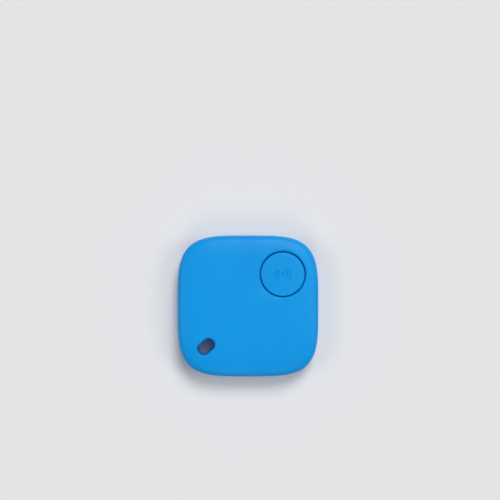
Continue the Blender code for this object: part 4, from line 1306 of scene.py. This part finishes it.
def negative_contact():
    low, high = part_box("negative_contact")
    radius = high.x - CELL_CENTRE.x
    rise = (high.z - low.z - CONTACT_SHEET) / 2
    under = []
    for share in (step / CONTACT_STEPS for step in range(CONTACT_STEPS)):
        climb = 1 - math.cos(math.pi * min(1, share * CONTACT_SLOPE))
        under.append((radius * (1 - share), low.z + rise * climb))
    over = [(reach, z + CONTACT_SHEET) for reach, z in under]
    spring = piece("cell_spring", turned(under[::-1] + over, CELL_CENTRE), GOLD)
    stands_for(spring, "negative_contact")


# Sounder


def sounder():
    segments = SOUNDER_SEGMENTS
    low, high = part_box("piezo_adhesive")
    inner = PIEZO_RADIUS - SOUNDER_SEAT_WIDTH
    tape = washer(inner, PIEZO_RADIUS, low.z, high.z, PIEZO_CENTRE, TAPE_EDGE, segments)
    stands_for(piece("sounder_tape", tape, FOAM), "piezo_adhesive")
    plate = disc(PIEZO_RADIUS, PIEZO_LOW.z, PIEZO_HIGH.z, PIEZO_CENTRE, PLATE_EDGE, FINE_SEGMENTS)
    stands_for(piece("sounder_plate", plate, BRASS), "piezo_plate")
    low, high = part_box("piezo_ceramic")
    split = high.z - ELECTRODE
    ceramic = disc(CERAMIC_RADIUS, low.z, split, PIEZO_CENTRE, TAPE_EDGE, segments)
    silver = disc(ELECTRODE_RADIUS, split, high.z, PIEZO_CENTRE, ELECTRODE / 3, segments)
    made = piece("sounder_disc", joined([ceramic], [silver]), PIEZO_GREY, SILVER)
    stands_for(made, "piezo_ceramic")


def solder_blob(centre, low, size):
    """A round joint that stands on its pad and draws in towards its top."""
    radius, height = size
    return turned([(radius * out, low + height * up) for out, up in BLOB_CURVE], centre, POST_SEGMENTS)


def sounder_wire(name, node_name, material, start, end, bow):
    """An insulated lead that arches from one joint to the other and bows sideways, over its bare core."""
    aside = (end - start).cross(UP).normalized()

    def along(share):
        rise = UP * WIRE_ARCH * math.sin(math.pi * share)
        return start.lerp(end, share) + rise + aside * bow * math.sin(2 * math.pi * share)

    bare = STRIPPED_SHARE
    for suffix, radius, first, last in (("", WIRE_RADIUS, bare, 1 - bare), ("_core", WIRE_CORE, 0, 1)):
        curve = bpy.data.curves.new(name + suffix, "CURVE")
        curve.dimensions = "3D"
        curve.bevel_depth = radius
        curve.bevel_resolution = 5
        curve.use_fill_caps = True
        spline = curve.splines.new("POLY")
        spline.points.add(WIRE_STEPS)
        for step, point in enumerate(spline.points):
            point.co = (*along(first + (last - first) * step / WIRE_STEPS), 1)
        curve.materials.append(TIN if suffix else material)
        lead = bpy.data.objects.new(name + suffix, curve)
        bpy.context.scene.collection.objects.link(lead)
        if suffix:
            stands_for(lead)
        else:
            stands_for(lead, node_name)


def sounder_leads():
    clear = WIRE_RADIUS + SEAT_GAP
    joints = []
    for colour, vinyl, bow, joint, foot, board_joint in (
        ("black", BLACK_VINYL, BLACK_BOW, PLATE_JOINT, PIEZO_HIGH.z, BLACK_BOARD_JOINT),
        ("red", RED_VINYL, RED_BOW, DISC_JOINT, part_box("piezo_ceramic")[1].z, RED_BOARD_JOINT),
    ):
        start, end = PIEZO_CENTRE.xy + spot(*joint), spot(*board_joint)
        joints += [solder_blob(start, foot, SOUNDER_BLOB), solder_blob(end, BOARD_TOP, BOARD_BLOB)]
        start, end = Vector((*start, foot + clear + WIRE_LIFT)), Vector((*end, BOARD_TOP + clear))
        sounder_wire(f"lead_{colour}", f"piezo_wire_{colour}", vinyl, start, end, bow)
    stands_for(piece("lead_joints", joined(joints), TIN))


# Switch


def switch():
    low, high, centre = placed("switch_base")
    frame_low, frame_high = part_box("switch_frame")
    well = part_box("switch_dome")[0].z - SEAT_GAP
    base = piece("switch_body", rounded_block(low, high, SWITCH_EDGE, 3), SWITCH_BLACK)
    steps = [("DIFFERENCE", drill(SWITCH_WELL_RADIUS, well, high.z + WALL, centre, BORE_SEGMENTS))]
    out = (high.x - low.x) / 2 - 2 * SWITCH_POST_RADIUS
    posts = [centre.xy + Vector((x, y)) * out for x in (-1, 1) for y in (-1, 1)]
    profile = [(SWITCH_POST_RADIUS, high.z - POST_ROOT)]
    profile += [(SWITCH_POST_RADIUS * share, frame_high.z + up * MM) for share, up in POST_HEAD]
    steps += [("UNION", turned(profile, post, POST_SEGMENTS)) for post in posts]
    carve(base, steps)
    stands_for(base, "switch_base")
    cover = piece("switch_cover", rounded_plate(frame_low, frame_high, COVER_CORNER, 5), NICKEL)
    cuts = [drill(PLUNGER_RADIUS + STAKE_CLEARANCE, low.z, high.z + WALL, centre, BORE_SEGMENTS)]
    reach = SWITCH_POST_RADIUS + POST_CLEARANCE
    cuts += [drill(reach, low.z, high.z + WALL, post, POST_SEGMENTS) for post in posts]
    carve(cover, [("DIFFERENCE", cut) for cut in cuts], COVER_EDGE)
    stands_for(cover, "switch_frame")


def switch_plunger():
    low, high, centre = placed("switch_plunger")
    reach, ease, edge = PLUNGER_FLANGE_RADIUS, FLANGE_EASE, PLUNGER_EDGE
    shoulder = low.z + PLUNGER_FLANGE_HEIGHT
    profile = [(reach - ease, low.z), (reach, low.z + ease)]
    profile += [(reach, shoulder - ease), (reach - ease, shoulder)]
    profile.append((PLUNGER_RADIUS, shoulder))
    profile += [(PLUNGER_RADIUS - out, high.z - edge + up) for out, up in fillet(edge, PLUNGER_EDGE_STEPS)]
    profile += [(share * PLUNGER_RADIUS, high.z + up * MM) for share, up in PLUNGER_DIMPLE]
    stem = piece("switch_stem", turned(profile, centre, BORE_SEGMENTS), SWITCH_BLACK)
    stands_for(stem, "switch_plunger", "plunger")


def switch_dome():
    """The snap dome under the plunger."""
    low, high, centre = placed("switch_dome")
    radius = high.x - centre.x
    rise = high.z - low.z - DOME_SHEET
    shares = [step / DOME_STEPS for step in range(1, DOME_STEPS + 1)]
    under = [(radius * share, low.z + rise * (1 - share**2)) for share in shares]
    over = [(reach, z + DOME_SHEET) for reach, z in reversed(under)]
    dome = piece("switch_spring", turned(under + over, centre, DOME_SEGMENTS), STEEL)
    stands_for(dome, "switch_dome")
    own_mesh(dome)


def switch_legs():
    centre = placed("switch_base")[2]
    half = TERMINAL_SHEET / 2
    for number in range(1, 5):
        low, high, middle = placed(f"switch_terminal_{number}")
        side = 1 if low.x > centre.x else -1
        inner, outer = (low.x, high.x)[::side]
        corners = [(inner + side * half, high.z), (inner + side * half, low.z + half), (outer, low.z + half)]

        def to_point(across, up, along, y=middle.y):
            return Vector((across, y + along, up))

        mesh = bent_sheet(corners, TERMINAL_SHEET, TERMINAL_BEND, high.y - low.y, to_point)
        leg = piece(f"switch_leg_{number}", mesh, TIN)
        soften(leg, TERMINAL_EDGE)
        stands_for(leg, f"switch_terminal_{number}")


# Everything in its place


def finish_node(node_name, material):
    """A frame node that keeps its own shape gets its finish."""
    made = bpy.data.objects[node_name]
    made.data.materials.clear()
    made.data.materials.append(material)


front_cover()
rear_cover()
button()
circuit_board()
board_copper()
board_print()
radio_chip()
crystal("crystal_fast", "fast_crystal")
crystal("crystal_slow", "clock_crystal")
inductor()
transistor()
lamp()
for number in range(1, 7):
    end_capped(f"capacitor_{number}", CERAMIC, TIN, TIN, slot="ceramic_tan")
for number in range(1, 4):
    end_capped(f"resistor_{number}", GLAZE, TIN, TIN, slot="chip_black", radius=THIN_CHIP_EDGE)
coin_cell()
battery_clip()
negative_contact()
sounder()
sounder_leads()
switch()
switch_plunger()
switch_dome()
switch_legs()
finish_node("antenna_trace", GOLD)
finish_node("cell_gasket", GASKET)
finish_node("cell_pellet", PELLET)

# Stage

# Broad soft lights: direction and angle from straight up in degrees, and strength
LIGHTS = (
    ("key", 72, 38, 1.85),
    ("right_fill", 0, 45, 0.6),
    ("left_fill", 180, 45, 0.5),
    ("near_fill", 270, 45, 0.45),
    ("high_fill", 40, 12, 0.22),
)
LIGHT_SPREAD = math.radians(28)
PAPER = (0.78, 0.78, 0.79)
SKY = (0.9, 0.95, 1.0, 1)
SKY_STRENGTH = 0.12
FLOOR_REACH = 12
CAMERA_ABOVE = Vector((0.54 * MM, 15.1 * MM, 0.305))
CAMERA_LENS = 80
CAMERA_SENSOR = 36


def soft_light(name, turn, lean, strength):
    data = bpy.data.lights.new(name, "SUN")
    data.energy = strength
    data.angle = LIGHT_SPREAD
    light = bpy.data.objects.new(name, data)
    turn, lean = math.radians(turn), math.radians(lean)
    away = Vector((math.cos(turn) * math.sin(lean), math.sin(turn) * math.sin(lean), math.cos(lean)))
    light.location = away
    light.rotation_mode = "QUATERNION"
    light.rotation_quaternion = away.to_track_quat("Z", "Y")
    bpy.context.scene.collection.objects.link(light)


def studio_world():
    """A dim sky that lights the tag, and pale paper behind the floor's edge."""
    world = bpy.data.worlds.new("studio")
    world.use_nodes = True
    tree = world.node_tree
    sky = tree.nodes["Background"]
    sky.inputs["Color"].default_value = SKY
    sky.inputs["Strength"].default_value = SKY_STRENGTH
    paper = node(tree, "ShaderNodeBackground", None, Color=(*PAPER, 1), Strength=1.0)
    seen = node(tree, "ShaderNodeLightPath").outputs["Is Camera Ray"]
    both = node(tree, "ShaderNodeMixShader", None, _0=seen, _1=sky.outputs[0], _2=paper.outputs[0])
    tree.links.new(both.outputs[0], tree.nodes["World Output"].inputs["Surface"])
    bpy.context.scene.world = world
    bpy.context.scene.view_settings.view_transform = "Standard"


floor_mesh = bmesh.new()
bmesh.ops.create_grid(floor_mesh, x_segments=1, y_segments=1, size=FLOOR_REACH)
floor = piece("floor", floor_mesh, new_material("pale_paper", PAPER, 0.9))
for name, turn, lean, strength in LIGHTS:
    soft_light(name, turn, lean, strength)
studio_world()

camera_data = bpy.data.cameras.new("camera")
camera_data.lens = CAMERA_LENS
camera_data.sensor_width = CAMERA_SENSOR
camera = bpy.data.objects.new("camera", camera_data)
camera.location = CAMERA_ABOVE
bpy.context.scene.collection.objects.link(camera)
bpy.context.scene.camera = camera
